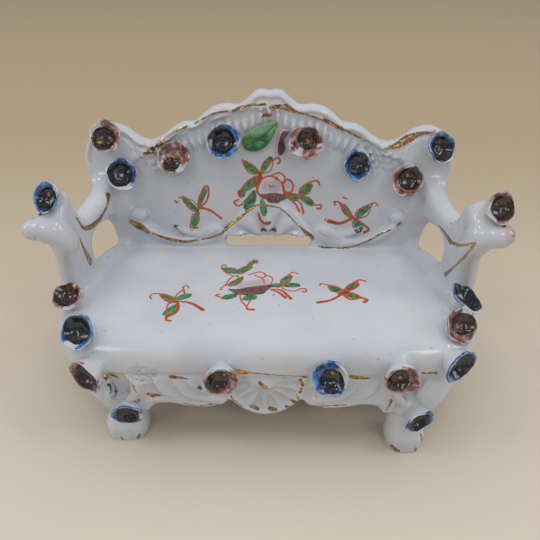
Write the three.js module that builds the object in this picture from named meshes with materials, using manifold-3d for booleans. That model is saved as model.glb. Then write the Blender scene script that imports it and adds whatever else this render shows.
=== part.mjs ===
// A miniature rococo settee in glazed porcelain, about 124 mm wide and 83 mm high.
// The settee is one casting: seat, aprons, four cabriole legs, two scrolled arms and a crested back.
// Its flowers, a leaf and the stub of a broken flower were made one by one and stuck on before firing.
// Millimetres, +Z up, the front faces -Y. The origin is on the ground under the middle of the whole.
import * as THREE from "three";
import { mergeVertices } from "three/addons/utils/BufferGeometryUtils.js";
import Module from "manifold-3d";

const wasm = await Module();
wasm.setup();

// Driving dimensions. Places are measured from the ground under the middle of the seat.
const middle = { x: 0.1, y: -3.9 }; // the middle of the whole piece, seen from above
const seatTop = 36.3;
const seamHeight = 26; // where the rolled seat edge meets the apron
const hemHeight = 15.6; // lower edge of the plain aprons
const roofHeight = 30.5; // ceiling of the open underside
const wall = 3.2;
const backFront = 17; // the back's front face at the height of the seat
const backThickness = 4.8;
const backFoot = 31; // the back's slab goes down into the seat to here
const lean = Math.tan(THREE.MathUtils.degToRad(9));
const panelRecess = 1.3; // depth of the back's panel behind its rim
const slot = { halfWidth: 13.6, corner: 1.4, low: 35.2, high: 39, crown: 0.3 };
const apron = { front: -30.3, rear: -26.6, shellHub: 25.4, shellReach: 12.4 };
const arms = {
  middle: 52.4, // from the middle of the seat, at the depth `level`
  level: 7,
  thickness: 6.6,
  edge: 1.7, // radius of its rounded edges
  splay: 0.12, // how far an arm spreads for each millimetre forwards
  foot: 39, // below this height it turns in towards the seat
  turnIn: 0.35,
};
const roll = { y: -11.6, z: 58.4, radius: 3.1, inner: 51, outer: 61.6 };
const lutingGap = 0.3; // between a flower's stem and the glaze that it stands on
const weldWithin = 1e-4;
const glaze = { color: 0xd9dade, roughness: 0.12, metalness: 0 };
const enamels = {
  blue: { color: 0x2b5c9e, roughness: 0.15, metalness: 0 },
  pink: { color: 0x8a5e64, roughness: 0.15, metalness: 0 },
  green: { color: 0x3f7a50, roughness: 0.2, metalness: 0 },
  mauve: { color: 0x4d383b, roughness: 0.2, metalness: 0 },
};

// Half of each outline, from the middle at the back or bottom round to the middle at the front or top.
const seatPlan = [
  [0, 21.6], [28, 21.6], [40, 20.8], [46, 16.8], [49.2, 11], [52, 5], [55.4, -1], [57.6, -7],
  [58, -13], [56.4, -19.5], [53.2, -25.2], [48.4, -29], [42, -30.2], [28, -30.4], [0, -30.6],
];
const backOutline = [
  [0, backFoot], [44.5, backFoot], [46.9, 37], [48.2, 42], [49.8, 46.4], [52.4, 51.5], [54.2, 57],
  [54.6, 62], [53.3, 66.6], [51.6, 70.8], [49.2, 73.4], [46.4, 74.2], [43.2, 73.9], [40.6, 72.2],
  [38.5, 70.1], [36.4, 69.2], [34, 69.3], [31, 71], [27.6, 73.2], [24.4, 74.1], [21.8, 74.7],
  [19.3, 76.8], [16.2, 78.7], [12.5, 79.4], [8.7, 79.3], [6.1, 81], [4, 82.6], [1.6, 83], [0, 82.5],
];
const panelOutline = [
  [0, 49.6], [5.4, 48.5], [8.8, 45.8], [11.4, 42.4], [14.7, 39.4], [21, 37.8], [28.5, 37.9],
  [36.4, 40.6], [41, 44.8], [42.4, 50], [42.2, 57], [39.8, 62.4], [35.3, 64.6], [31, 67.6],
  [23, 71.8], [11.5, 76], [0, 78],
];
const apronEdge = [
  [0, 11.5], [4.2, 12.5], [7.2, 15], [9.6, 17], [11.9, 15.2], [16, 14], [21, 14.8], [25.6, 15.8],
  [29.4, 15], [31.8, 12],
];
const planPoints = 40;
// The seat's side from the hem up over the rolled edge: height, and how far in from the plan.
const seatProfile = [
  [hemHeight, 3.2], [18, 2], [22, 1.5], [seamHeight - 0.8, 1.5], [seamHeight + 0.4, 0.1],
  [29.4, 0], [32.2, 0.9], [34.3, 3], [35.7, 6.4], [seatTop, 11.5],
];
// The open underside, from below the ground up to its ceiling: height, and how far in from the plan.
const underside = [[-1, wall + 2], [24, wall + 1.6], [28.5, wall + 3], [roofHeight, wall + 7]];
// An arm's outline (y, z), from the back over the roll and down the post, then round the opening.
const armProfile = [
  [21, 60], [15, 57], [9, 55.3], [3, 54.5], [-0.4, 56.4], [-2.4, 60.4], [-5, 63.3], [-8.4, 63.9],
  [-11.6, 61.6], [-14, 59], [-13.2, 55.6], [-10.4, 52.4], [-9.2, 48.5], [-9.6, 44], [-11, 40],
  [-12.6, 35], [-12.6, 31], [5, 31], [4.2, 37], [2.4, 42], [3, 46.4], [6, 48.4], [11, 48],
  [17, 46.4], [21, 45],
];
// Stations down a front leg: centre x, y, z, then half its width and half its depth.
const frontLeg = [
  [44.6, -23.4, 24, 5.6, 4.6], [43.4, -24.6, 18, 7, 5.8], [39.6, -26.6, 13.4, 6, 5],
  [37.4, -27.2, 10, 5.1, 4.2], [37.8, -27.6, 6.4, 5.6, 4.6], [38.4, -28, 2.8, 6.2, 5.6],
  [38.4, -27.8, -1, 5.6, 5],
];
const rearLeg = [
  [41, 14.6, 24, 5.4, 4.4], [40.4, 15.4, 17, 5.6, 4.6], [38.4, 16.2, 10, 4.6, 4],
  [38.6, 16.8, 4, 5.4, 4.8], [38.6, 16.8, -1, 5, 4.4],
];
const footForward = { left: 2.6, right: -1.2 }; // the left front foot was set further back
// A rail along each end of the seat, below the opening in the arm.
const endRailPath = [[44.6, 17.6, 34.4], [47.2, 12.6, 34.8], [49.6, 7.6, 34.8], [52, 3, 34.2]];
const endRailSize = [1.8, 2.6];
// What is open between the legs: under the rear apron (x, z) and under the side aprons (y, z).
const rearOpening = [[-32, -2], [-31.5, 12], [-27, 16.6], [0, 17.4], [27, 16.6], [31.5, 12], [32, -2]];
const sideOpening = [[-18, -2], [-17, 12], [-13, 16.6], [-4, 17.4], [4, 16.6], [8.6, 12], [9.4, -2]];
// Carving of the back, at (x, z) on its front face.
const backScroll = {
  path: [[12.4, 40.4], [16.2, 38.2], [22, 37], [28.6, 37.2], [35.4, 39.4], [39.6, 43]],
  radius: 1.1,
  balls: [[18.7, 42.4, 1.9], [40.8, 46.6, 2]],
};
const crestRibs = { reach: 32, pitch: 4, height: 77.2, fall: 0.0098, halfLength: 3, drop: 4.2 };
const backShell = { ribs: 7, spread: 63, radius: 7.6, below: 2, halfLength: 3.2 };
// Carving of the front apron: a fluted shell with a button, and leafy scrolls beside it.
const frontShell = { flutes: 9, spread: 68, flatten: 0.12 };
const shellButton = { x: -0.6, z: 23, halfWidth: 1.8, halfHeight: 1.6 };
const apronStem = [[12.4, 18.6], [16.5, 20.6], [21.5, 18.4], [26.5, 18.6], [30.4, 22]];
const apronLeaves = [[15, 23, 0.5], [20.6, 22.6, -0.4], [26, 22.4, 0.9]]; // x, z, turn

// The flowers: name, middle of the rim, the way the bloom opens, its width, and its enamel.
const flowers = [
  ["ear_left", [-46.4, 18.3, 71.3], [0.13, -0.87, 0.48], 8.9, "pink"],
  ["back_left_low", [-42.9, 17, 60.2], [0.43, -0.74, 0.51], 9.4, "blue"],
  ["back_left", [-27.8, 18.7, 64.9], [-0.12, -0.79, 0.6], 9.8, "pink"],
  ["back_mid_left", [-13.1, 19.4, 69.6], [-0.09, -0.88, 0.46], 9.7, "blue"],
  ["back_mid_right", [10.6, 19.5, 69.5], [-0.02, -0.84, 0.55], 9.9, "pink"],
  ["back_right", [26, 18.4, 63.1], [0.43, -0.81, 0.41], 9.6, "blue"],
  ["back_right_low", [40.9, 17.4, 58.9], [0.03, -0.86, 0.51], 9.9, "pink"],
  ["ear_right", [49.5, 17.9, 69], [0.4, -0.83, 0.4], 9.6, "blue"],
  ["arm_left", [-54.7, -10.5, 66.6], [-0.3, -0.68, 0.67], 8, "blue"],
  ["arm_right", [57.5, -11.6, 65.3], [0.32, -0.81, 0.5], 8.9, "pink"],
  ["end_left_back", [-53.3, -15, 39.8], [-0.12, -0.58, 0.8], 8.4, "pink"],
  ["end_left_front", [-47.3, -27.8, 38.1], [-0.29, -0.56, 0.77], 9.8, "blue"],
  ["corner_left", [-45.5, -34.1, 28.5], [-0.51, -0.86, -0.01], 9.6, "pink"],
  ["end_right_back", [53.4, -14.4, 40.2], [0.6, -0.42, 0.68], 9.6, "blue"],
  ["end_right_front", [49.8, -23.9, 38.1], [0.24, -0.77, 0.58], 9.7, "pink"],
  ["corner_right", [48.9, -31.9, 31.3], [0.41, -0.9, -0.16], 9.6, "blue"],
  ["front_left", [-11.1, -34.9, 28.2], [-0.02, -0.98, 0.18], 9.4, "pink"],
  ["front_mid", [15.8, -34.7, 29.4], [-0.27, -0.92, 0.27], 10.4, "blue"],
  ["front_right", [33.7, -35.1, 29.4], [0.08, -1, 0.05], 10.2, "pink"],
  ["foot_left", [-36.8, -33.2, 13.7], [0.18, -0.96, -0.21], 8.5, "blue"],
  ["foot_right", [40.5, -35.1, 14.5], [0.22, -0.96, -0.15], 8.1, "blue"],
];
// A flower's rings from the root of its stem over the rim and down into the cup: radius and height.
const bloomProfile = [
  [1.7, -7], [1.9, -3.4], [3.5, -1.9], [4.65, 0], [1.3, -2],
];
const bloomWidth = 9.3; // width of the flower that the profile gives
const petals = 5;
const lobeDepth = 0.035;
const plainStem = 2.5; // rings narrower than this are round
const leafShape = { base: [-7.6, 66.9], tip: [2, 73.2], halfWidth: 3.4, thickness: 1.5 };
// The petal that is left of a broken flower: x, z and half its thickness along it.
const petalShape = {
  path: [[3.6, 65.6, 0.6], [4.1, 67.6, 1.1], [3.8, 69.4, 0.7], [4.4, 71.2, 1], [4.6, 72.6, 0.5]],
  proud: 1.2,
  halfDepth: 1.4,
};

// A solid of the joining library, from any closed three.js geometry.
function solid(geometry) {
  const bare = geometry.clone();
  bare.deleteAttribute("normal");
  bare.deleteAttribute("uv");
  const merged = turnedOut(mergeVertices(bare, weldWithin));
  return new wasm.Manifold(
    new wasm.Mesh({
      numProp: 3,
      vertProperties: new Float32Array(merged.attributes.position.array),
      triVerts: new Uint32Array(merged.index.array),
    }),
  );
}

// A flat-shaded three.js geometry, from a solid of the joining library.
function geometryOf(made) {
  const mesh = made.getMesh();
  const places = new Float32Array(mesh.numVert * 3);
  for (let i = 0; i < mesh.numVert; i++)
    places.set(mesh.vertProperties.subarray(i * mesh.numProp, i * mesh.numProp + 3), i * 3);
  const geometry = new THREE.BufferGeometry();
  geometry.setAttribute("position", new THREE.BufferAttribute(places, 3));
  geometry.setIndex(new THREE.BufferAttribute(new Uint32Array(mesh.triVerts), 1));
  const flat = geometry.toNonIndexed();
  flat.computeVertexNormals();
  return flat;
}

const join = (solids) => solids.reduce((whole, next) => whole.add(next));

// Both halves of an outline that runs from one point on the middle line to another.
function bothHalves(half) {
  const other = half.slice(1, -1).reverse();
  return [...half, ...other.map(([x, y]) => [-x, y])];
}

// Evenly spaced points along the smooth closed curve through an outline.
function smoothLoop(outline, count) {
  const through = outline.map(([x, y]) => new THREE.Vector3(x, y, 0));
  const curve = new THREE.CatmullRomCurve3(through, true, "centripetal");
  return curve.getSpacedPoints(count).slice(0, count);
}

// Reverses every face of a closed geometry whose faces point inwards.
function turnedOut(geometry) {
  const at = geometry.attributes.position;
  const index = geometry.index.array;
  const corner = [new THREE.Vector3(), new THREE.Vector3(), new THREE.Vector3()];
  let volume = 0;
  for (let i = 0; i < index.length; i += 3) {
    corner.forEach((v, k) => v.fromBufferAttribute(at, index[i + k]));
    volume += corner[0].dot(corner[1].cross(corner[2]));
  }
  if (volume < 0)
    for (let i = 0; i < index.length; i += 3)
      [index[i + 1], index[i + 2]] = [index[i + 2], index[i + 1]];
  return geometry;
}

// A closed skin over rings of equal count, with a fan of triangles over each end.
function loft(rings) {
  const count = rings[0].length;
  const points = rings.flat();
  const index = [];
  for (let r = 0; r + 1 < rings.length; r++)
    for (let i = 0; i < count; i++) {
      const a = r * count + i;
      const b = r * count + ((i + 1) % count);
      index.push(a, b, b + count, a, b + count, a + count);
    }
  for (const last of [false, true]) {
    const first = last ? (rings.length - 1) * count : 0;
    const ring = last ? rings.at(-1) : rings[0];
    const hub = points.length;
    points.push(ring.reduce((sum, p) => sum.add(p), new THREE.Vector3()).divideScalar(count));
    for (let i = 0; i < count; i++) {
      const here = first + i;
      const next = first + ((i + 1) % count);
      index.push(...(last ? [here, next, hub] : [next, here, hub]));
    }
  }
  const geometry = new THREE.BufferGeometry().setFromPoints(points);
  return geometry.setIndex(index);
}

// A tapering limb through stations [x, y, z, half width, half depth], its width along `across`.
function limb(stations, { across = [1, 0, 0], sides = 10, steps = 10 } = {}) {
  const path = new THREE.CatmullRomCurve3(
    stations.map(([x, y, z]) => new THREE.Vector3(x, y, z)), false, "centripetal",
  );
  const size = new THREE.CatmullRomCurve3(
    stations.map((s, i) => new THREE.Vector3(s[3], s[4], i)), false, "catmullrom",
  );
  const rings = [];
  for (let s = 0; s <= steps; s++) {
    const t = s / steps;
    const centre = path.getPoint(t);
    const along = path.getTangent(t);
    const wide = new THREE.Vector3(...across);
    wide.addScaledVector(along, -along.dot(wide)).normalize();
    const deep = new THREE.Vector3().crossVectors(along, wide);
    const { x: halfWidth, y: halfDepth } = size.getPoint(t);
    const ring = [];
    for (let i = 0; i < sides; i++) {
      const turn = (2 * Math.PI * (i + 0.5)) / sides;
      const place = centre.clone().addScaledVector(wide, halfWidth * Math.cos(turn));
      ring.push(place.addScaledVector(deep, halfDepth * Math.sin(turn)));
    }
    rings.push(ring);
  }
  return solid(loft(rings));
}

// A ball stretched to half sizes along X, Y and Z, then turned about Y.
function boss([x, y, z], [a, b, c], turn = 0, sides = 5, bands = 3) {
  const ball = new THREE.SphereGeometry(1, sides, bands);
  ball.rotateX(Math.PI / 2).scale(a, b, c).rotateY(turn).translate(x, y, z);
  return solid(ball);
}

// A plate in the XZ plane that fills an outline from y0 back to y1, its edges eased by `round`.
function plate(outline, y0, y1, round = 0, bevelSegments = 1) {
  const shape = new THREE.Shape(outline.map((p) => new THREE.Vector2(p.x ?? p[0], p.y ?? p[1])));
  const geometry = new THREE.ExtrudeGeometry(shape, {
    depth: y1 - y0 - 2 * round,
    bevelEnabled: round > 0,
    bevelThickness: round,
    bevelSize: round,
    bevelOffset: -round,
    bevelSegments,
  });
  return geometry.rotateX(Math.PI / 2).translate(0, y1 - round, 0);
}

// Moves every point of a geometry by a rule that is given the point.
function bend(geometry, rule) {
  const at = geometry.attributes.position;
  const p = new THREE.Vector3();
  for (let i = 0; i < at.count; i++) {
    rule(p.fromBufferAttribute(at, i));
    at.setXYZ(i, p.x, p.y, p.z);
  }
  return geometry;
}

const frontOfBack = (z) => backFront + lean * (z - seatTop);
const leanBack = (geometry) => bend(geometry, (p) => (p.y += lean * (p.z - seatTop)));

// Seat and plain aprons: the plan carried up the seat's profile, open underneath.
function seatBlock() {
  const plan = smoothLoop(bothHalves(seatPlan), planPoints);
  const inward = plan.map((p, i) => {
    const before = plan.at(i - 1);
    const after = plan[(i + 1) % plan.length];
    return new THREE.Vector3(before.y - after.y, after.x - before.x, 0).normalize();
  });
  const side = Math.sign(-plan[0].y * inward[0].y); // the loop may run either way round
  const ring = ([z, inset]) =>
    plan.map((p, i) => p.clone().addScaledVector(inward[i], side * inset).setZ(z));
  const skin = solid(loft(seatProfile.map(ring)));
  return skin.subtract(solid(loft(underside.map(ring))));
}

// The front apron hangs lower than the others, with a scalloped hem and a shell in its middle.
function frontApron() {
  const half = [...apronEdge, [34.5, 13], [36.5, 25.6]];
  const outline = [...half, ...half.slice(1).reverse().map(([x, z]) => [-x, z])];
  const carving = [solid(plate(outline, apron.front, apron.rear, 0.7))];
  const { flutes, spread, flatten } = frontShell;
  for (let i = 0; i < flutes; i++) {
    const turn = THREE.MathUtils.degToRad(spread * ((2 * i) / (flutes - 1) - 1));
    const reach = apron.shellReach * (1 - flatten * Math.abs(Math.sin(turn)));
    const away = 0.58 * reach; // the flute's middle
    const place = [away * Math.sin(turn), apron.front - 0.1, apron.shellHub - away * Math.cos(turn)];
    carving.push(boss(place, [1.3, 1.1, 0.42 * reach], -turn));
  }
  const { x, z, halfWidth, halfHeight } = shellButton;
  carving.push(boss([x, apron.front - 0.3, z], [halfWidth, 1.2, halfHeight], 0, 7, 4));
  for (const s of [-1, 1]) {
    const stations = apronStem.map(([px, pz], i) => [s * px, apron.front + 0.1, pz, 1.5 - 0.2 * i, 1]);
    carving.push(limb(stations, { across: [0, 0, 1], sides: 5, steps: 6 }));
    for (const [px, pz, turn] of apronLeaves)
      carving.push(boss([s * px, apron.front + 0.1, pz], [1, 0.9, 2], s * turn));
  }
  return join(carving);
}

function legOpenings() {
  const [rearFrom, rearTo] = [8, 40];
  const reach = 70;
  return solid(plate(rearOpening, rearFrom, rearTo))
    .add(solid(plate(sideOpening, -reach, reach).rotateZ(Math.PI / 2)));
}

// The crested back with its recessed panel, scrolls, shell and the fluting under its crest.
function backRest() {
  const outline = bothHalves(backOutline);
  const slab = solid(leanBack(plate(outline, backFront, backFront + backThickness, 1.3)));
  const inFront = backFront - 4;
  const hollow = solid(leanBack(plate(bothHalves(panelOutline), inFront, backFront + panelRecess)));
  const raised = [];
  for (const s of [-1, 1]) {
    const { path, radius, balls } = backScroll;
    const stations = path.map(([x, z]) => [s * x, frontOfBack(z) + 0.4, z, radius, radius]);
    raised.push(limb(stations, { across: [0, 0, 1], sides: 6, steps: 8 }));
    for (const [x, z, size] of balls)
      raised.push(boss([s * x, frontOfBack(z), z], [size, 0.8 * size, size], 0, 7, 4));
  }
  const { reach, pitch, height, fall, halfLength, drop } = crestRibs;
  for (let x = -reach; x <= reach; x += pitch) {
    const crest = height - fall * x * x;
    const turn = 0.5 * Math.atan2(x, crest - 20); // the ribs spread like rays
    const z = crest - drop;
    raised.push(boss([0.97 * x, frontOfBack(z) + panelRecess - 0.1, z], [1.1, 0.8, halfLength], turn));
  }
  for (let i = 0; i < backShell.ribs; i++) {
    const turn = THREE.MathUtils.degToRad(backShell.spread * ((2 * i) / (backShell.ribs - 1) - 1));
    const z = slot.high - backShell.below + backShell.radius * Math.cos(turn);
    const place = [1.13 * backShell.radius * Math.sin(turn), frontOfBack(z) + 0.3, z];
    raised.push(boss(place, [1.7, 1, backShell.halfLength], turn));
  }
  const { halfWidth, corner, low, high, crown } = slot;
  const across = halfWidth - corner;
  const side = [halfWidth, (low + high) / 2];
  const half = [[0, low], [across, low], side, [across, high - crown], [0, high + crown]];
  const window = solid(plate(bothHalves(half), 10, 30));
  return join([slab.subtract(hollow), ...raised]).subtract(window);
}

// One arm: a splayed plate that rises over a hump to a rolled scroll with a ball at its outer end.
function arm(s) {
  const { middle: centre, level, thickness, edge, splay, foot, turnIn } = arms;
  const flat = plate(armProfile, -thickness / 2, thickness / 2, edge, 2).rotateZ(Math.PI / 2);
  const web = bend(flat, (p) => {
    const away = centre + splay * (level - p.y) - turnIn * Math.max(0, foot - p.z);
    p.x = s * (p.x + away);
  });
  const { y, z, radius, inner, outer } = roll;
  // Stations along the roll: distance from the middle, and the radius there as a share.
  const turned = [
    [inner, 0.7], [inner + 3, 1], [outer - 4.4, 1], [outer - 3, 0.8], [outer - 1.5, 1], [outer, 0.5],
  ];
  const stations = turned.map(([x, share]) => [s * x, y, z, share * radius, share * radius]);
  return solid(web).add(limb(stations, { across: [0, 1, 0], sides: 8, steps: 8 }));
}

function leg(stations, s, forward = 0) {
  const top = stations[0][2];
  const placed = stations.map(([x, y, z, w, d]) => [s * x, y + forward * (1 - z / top), z, w, d]);
  return limb(placed, { sides: 10, steps: 8 });
}

function endRail(s) {
  const stations = endRailPath.map(([x, y, z]) => [s * x, y, z, ...endRailSize]);
  return limb(stations, { sides: 8, steps: 6 });
}

function settee() {
  const body = join([
    seatBlock().add(frontApron()).subtract(legOpenings()),
    backRest(),
    arm(-1),
    arm(1),
    endRail(-1),
    endRail(1),
    leg(frontLeg, -1, footForward.left),
    leg(frontLeg, 1, footForward.right),
    leg(rearLeg, -1),
    leg(rearLeg, 1),
  ]);
  const below = solid(new THREE.BoxGeometry(200, 200, 20).translate(0, 0, -10));
  return body.subtract(below); // the feet's soles are ground flat
}

// Something stuck on loses what reaches into the body, and keeps the slip's width clear of it.
function stuckOn(made, opening, body) {
  const glazed = body.translate(opening.clone().setLength(lutingGap).toArray());
  const cut = made.subtract(body).subtract(glazed);
  return cut.decompose().sort((a, b) => b.volume() - a.volume())[0];
}

// A flower: a lobed trumpet whose stem reaches through the glaze.
function flower(place, facing, wide, body) {
  const scale = wide / bloomWidth;
  const sides = 2 * petals;
  const rings = bloomProfile.map(([radius, height]) => {
    const lobe = radius > plainStem ? lobeDepth : 0;
    return Array.from({ length: sides }, (_, i) => {
      const turn = (2 * Math.PI * i) / sides;
      const reach = scale * radius * (1 + (i % 2 ? -lobe : lobe));
      return new THREE.Vector3(reach * Math.cos(turn), scale * height, reach * Math.sin(turn));
    });
  });
  const opening = new THREE.Vector3(...facing).normalize();
  const turned = new THREE.Quaternion().setFromUnitVectors(new THREE.Vector3(0, 1, 0), opening);
  return stuckOn(solid(loft(rings).applyQuaternion(turned).translate(...place)), opening, body);
}

// The leaf lies against the panel, its tip up to the right.
function leaf(body) {
  const { base, tip, halfWidth, thickness } = leafShape;
  const foot = new THREE.Vector2(...base);
  const along = new THREE.Vector2(...tip).sub(foot);
  const across = new THREE.Vector2(-along.y, along.x).normalize().multiplyScalar(halfWidth);
  const edge = (t, side) => {
    const bulge = side * Math.sin(Math.PI * t ** 0.8);
    return foot.clone().addScaledVector(along, t).addScaledVector(across, bulge);
  };
  const right = [0, 0.15, 0.35, 0.55, 0.75, 0.9, 1].map((t) => edge(t, -1));
  const left = [0.9, 0.75, 0.55, 0.35, 0.15].map((t) => edge(t, 1));
  const rear = backFront + panelRecess;
  const made = solid(leanBack(plate([...right, ...left], rear - thickness, rear, 0.3)));
  return stuckOn(made, new THREE.Vector3(0, -1, 0), body);
}

// What is left of a broken flower: one curled petal that stands on edge.
function brokenPetal(body) {
  const { path, proud, halfDepth } = petalShape;
  const standing = path.map(([x, z, half]) => [x, frontOfBack(z) + panelRecess - proud, z, half, halfDepth]);
  return stuckOn(limb(standing, { sides: 6, steps: 6 }), new THREE.Vector3(0, -1, 0), body);
}

const figurine = new THREE.Group();
figurine.name = "porcelain_settee";
figurine.position.set(-middle.x, -middle.y, 0);

function add(name, made, { color, roughness, metalness }) {
  const mesh = new THREE.Mesh(
    geometryOf(made), new THREE.MeshStandardMaterial({ color, roughness, metalness }),
  );
  mesh.name = name;
  figurine.add(mesh);
}

const body = settee();
add("settee", body, glaze);
for (const [name, place, facing, wide, enamel] of flowers)
  add(`flower_${name}`, flower(place, facing, wide, body), enamels[enamel]);
add("leaf", leaf(body), enamels.green);
add("broken_petal", brokenPetal(body), enamels.mauve);

export default figurine;
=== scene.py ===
import math
import bpy
import numpy as np
from mathutils import Matrix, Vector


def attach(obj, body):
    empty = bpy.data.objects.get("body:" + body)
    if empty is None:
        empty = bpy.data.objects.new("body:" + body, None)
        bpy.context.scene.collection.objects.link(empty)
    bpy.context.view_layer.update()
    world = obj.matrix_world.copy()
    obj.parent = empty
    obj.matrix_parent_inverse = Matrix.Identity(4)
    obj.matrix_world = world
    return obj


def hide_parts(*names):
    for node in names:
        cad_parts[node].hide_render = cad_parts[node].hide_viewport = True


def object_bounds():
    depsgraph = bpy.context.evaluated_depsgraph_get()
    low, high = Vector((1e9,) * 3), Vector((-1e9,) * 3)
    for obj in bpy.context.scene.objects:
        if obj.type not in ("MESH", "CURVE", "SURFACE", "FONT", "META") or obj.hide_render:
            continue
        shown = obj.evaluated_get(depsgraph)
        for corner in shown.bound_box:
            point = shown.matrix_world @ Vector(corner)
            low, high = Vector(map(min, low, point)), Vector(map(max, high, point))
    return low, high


# A miniature rococo settee in glazed porcelain with applied flowers, painted sprigs and worn gilding.
# Shapes are worked out in millimetres from the ground under the middle of the seat, front towards -Y,
# and toFrame() brings them to the frame of the solids, in metres.
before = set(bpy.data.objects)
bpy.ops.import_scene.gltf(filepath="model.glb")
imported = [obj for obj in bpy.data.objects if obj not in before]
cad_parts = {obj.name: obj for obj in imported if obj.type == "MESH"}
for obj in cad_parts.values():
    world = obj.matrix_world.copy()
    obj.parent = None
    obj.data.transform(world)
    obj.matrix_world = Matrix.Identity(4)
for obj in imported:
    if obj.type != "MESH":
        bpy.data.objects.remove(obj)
cadLow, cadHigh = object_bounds()
print("stage: frame loaded,", len(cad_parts), "solids")

middle = np.array([0.1, -3.9, 0.0])  # mm, the middle of the whole on the ground


# From measured millimetres to the frame's metres: less the middle, over 1000.
def toFrame(points):
    return (np.asarray(points, float) - middle) / 1000


# Lines and outlines

# Centripetal Catmull-Rom through the points: between b and c, the lines a-b, b-c and c-d are blended in
# three rounds, by knots that stand as far apart as the square root of the points' distances.
def smoothPath(points, closed=False, pieces=6):
    p = np.asarray(points, float)
    if closed:
        ring = np.vstack([p[-1:], p, p[:2]])
    else:
        ring = np.vstack([2 * p[:1] - p[1:2], p, 2 * p[-1:] - p[-2:-1]])
    a, b, c, d = (ring[i:len(ring) - 3 + i, None, :] for i in range(4))
    knot = lambda u, v: np.sqrt(np.linalg.norm(v - u, axis=2, keepdims=True)) + 1e-9
    t1 = knot(a, b)
    t2 = t1 + knot(b, c)
    t3 = t2 + knot(c, d)
    t = t1 + (t2 - t1) * (np.arange(pieces) / pieces)[None, :, None]
    ab = a + (b - a) * t / t1
    bc = b + (c - b) * (t - t1) / (t2 - t1)
    cd = c + (d - c) * (t - t2) / (t3 - t2)
    abc = ab + (bc - ab) * t / t2
    bcd = bc + (cd - bc) * (t - t1) / (t3 - t1)
    line = (abc + (bcd - abc) * (t - t1) / (t2 - t1)).reshape(-1, p.shape[1])
    return line if closed else np.vstack([line, p[-1:]])


# A half outline from the middle line to the middle line, and its mirror image.
def bothHalves(half):
    half = np.asarray(half, float)
    return np.vstack([half, (half * [-1, 1])[-2:0:-1]])


# Signed distance to a closed outline, negative inside, worked out once on a sheet of points and read back
# by bilinear blending; past the sheet's edge the way to the edge is added.
class Outline:
    def __init__(self, corners, cell=0.4, margin=8):
        corners = np.asarray(corners, float)
        self.low = corners.min(0) - margin
        self.cell = cell
        count = np.ceil((np.ptp(corners, axis=0) + 2 * margin) / cell).astype(int) + 1
        u, v = np.meshgrid(*(self.low[i] + cell * np.arange(count[i]) for i in (0, 1)), indexing="ij")
        nearest = np.full(u.shape, 1e9)
        inside = np.zeros(u.shape, bool)
        for (au, av), (bu, bv) in zip(corners, np.roll(corners, -1, 0)):
            du, dv = bu - au, bv - av
            share = np.clip(((u - au) * du + (v - av) * dv) / (du * du + dv * dv + 1e-12), 0, 1)
            nearest = np.minimum(nearest, (u - au - share * du) ** 2 + (v - av - share * dv) ** 2)
            crosses = (av > v) != (bv > v)
            inside ^= crosses & (u < au + du * (v - av) / (dv if dv else 1e-12))
        self.sheet = np.where(inside, -1, 1) * np.sqrt(nearest)

    def __call__(self, u, v):
        a, b = (u - self.low[0]) / self.cell, (v - self.low[1]) / self.cell
        top = np.array(self.sheet.shape) - 1.001
        ca, cb = np.clip(a, 0, top[0]), np.clip(b, 0, top[1])
        i, j = ca.astype(int), cb.astype(int)
        across, up = ca - i, cb - j
        near = self.sheet[i, j] * (1 - across) * (1 - up) + self.sheet[i + 1, j] * across * (1 - up)
        far = self.sheet[i, j + 1] * (1 - across) * up + self.sheet[i + 1, j + 1] * across * up
        return near + far + self.cell * np.hypot(a - ca, b - cb)


# Modelling in clay: signed distances that are joined, cut and pressed

# Smooth step from 0 at `start` to 1 at `end`: the share t of the way, as t t (3 - 2 t).
def ramp(value, start, end):
    t = np.clip((value - start) / (end - start), 0, 1)
    return t * t * (3 - 2 * t)


# A hump of height 1 at `centre` that falls to 0 at `reach` on both sides.
def hump(value, centre, reach):
    return 1 - ramp(abs(value - centre), 0, reach)


# Rounded slab: an outline's distance and the way from the slab's middle plane, joined round an edge.
def slab(across, depth, half, edge):
    a, b = across + edge, abs(depth) - half + edge
    return np.minimum(np.maximum(a, b), 0) + np.hypot(np.maximum(a, 0), np.maximum(b, 0)) - edge


# Ellipsoid: k0 = length of p / r, k1 = length of p / r squared, distance = k0 (k0 - 1) / k1.
def egg(x, y, z, centre, size, turn=0.0):
    dx, dy, dz = x - centre[0], y - centre[1], z - centre[2]
    c, s = math.cos(turn), math.sin(turn)
    dx, dz = dx * c - dz * s, dx * s + dz * c
    k0 = np.sqrt((dx / size[0]) ** 2 + (dy / size[1]) ** 2 + (dz / size[2]) ** 2)
    k1 = np.sqrt((dx / size[0] ** 2) ** 2 + (dy / size[1] ** 2) ** 2 + (dz / size[2] ** 2) ** 2)
    return k0 * (k0 - 1) / (k1 + 1e-6)


# Round limb along a path whose last column is the radius: the least of the distances to its cones.
def limb(x, y, z, path, squeeze=1.0):
    nearest = np.full(x.shape, 1e3)
    y = y / squeeze
    for a, b in zip(path[:-1], path[1:]):
        ax, ay, az, ar = a[0], a[1] / squeeze, a[2], a[3]
        dx, dy, dz, dr = b[0] - ax, b[1] / squeeze - ay, b[2] - az, b[3] - ar
        share = ((x - ax) * dx + (y - ay) * dy + (z - az) * dz) / (dx * dx + dy * dy + dz * dz + 1e-9)
        share = np.clip(share, 0, 1)
        away = np.sqrt((x - ax - share * dx) ** 2 + (y - ay - share * dy) ** 2 + (z - az - share * dz) ** 2)
        nearest = np.minimum(nearest, away - ar - share * dr)
    return nearest * min(1, squeeze)


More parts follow.
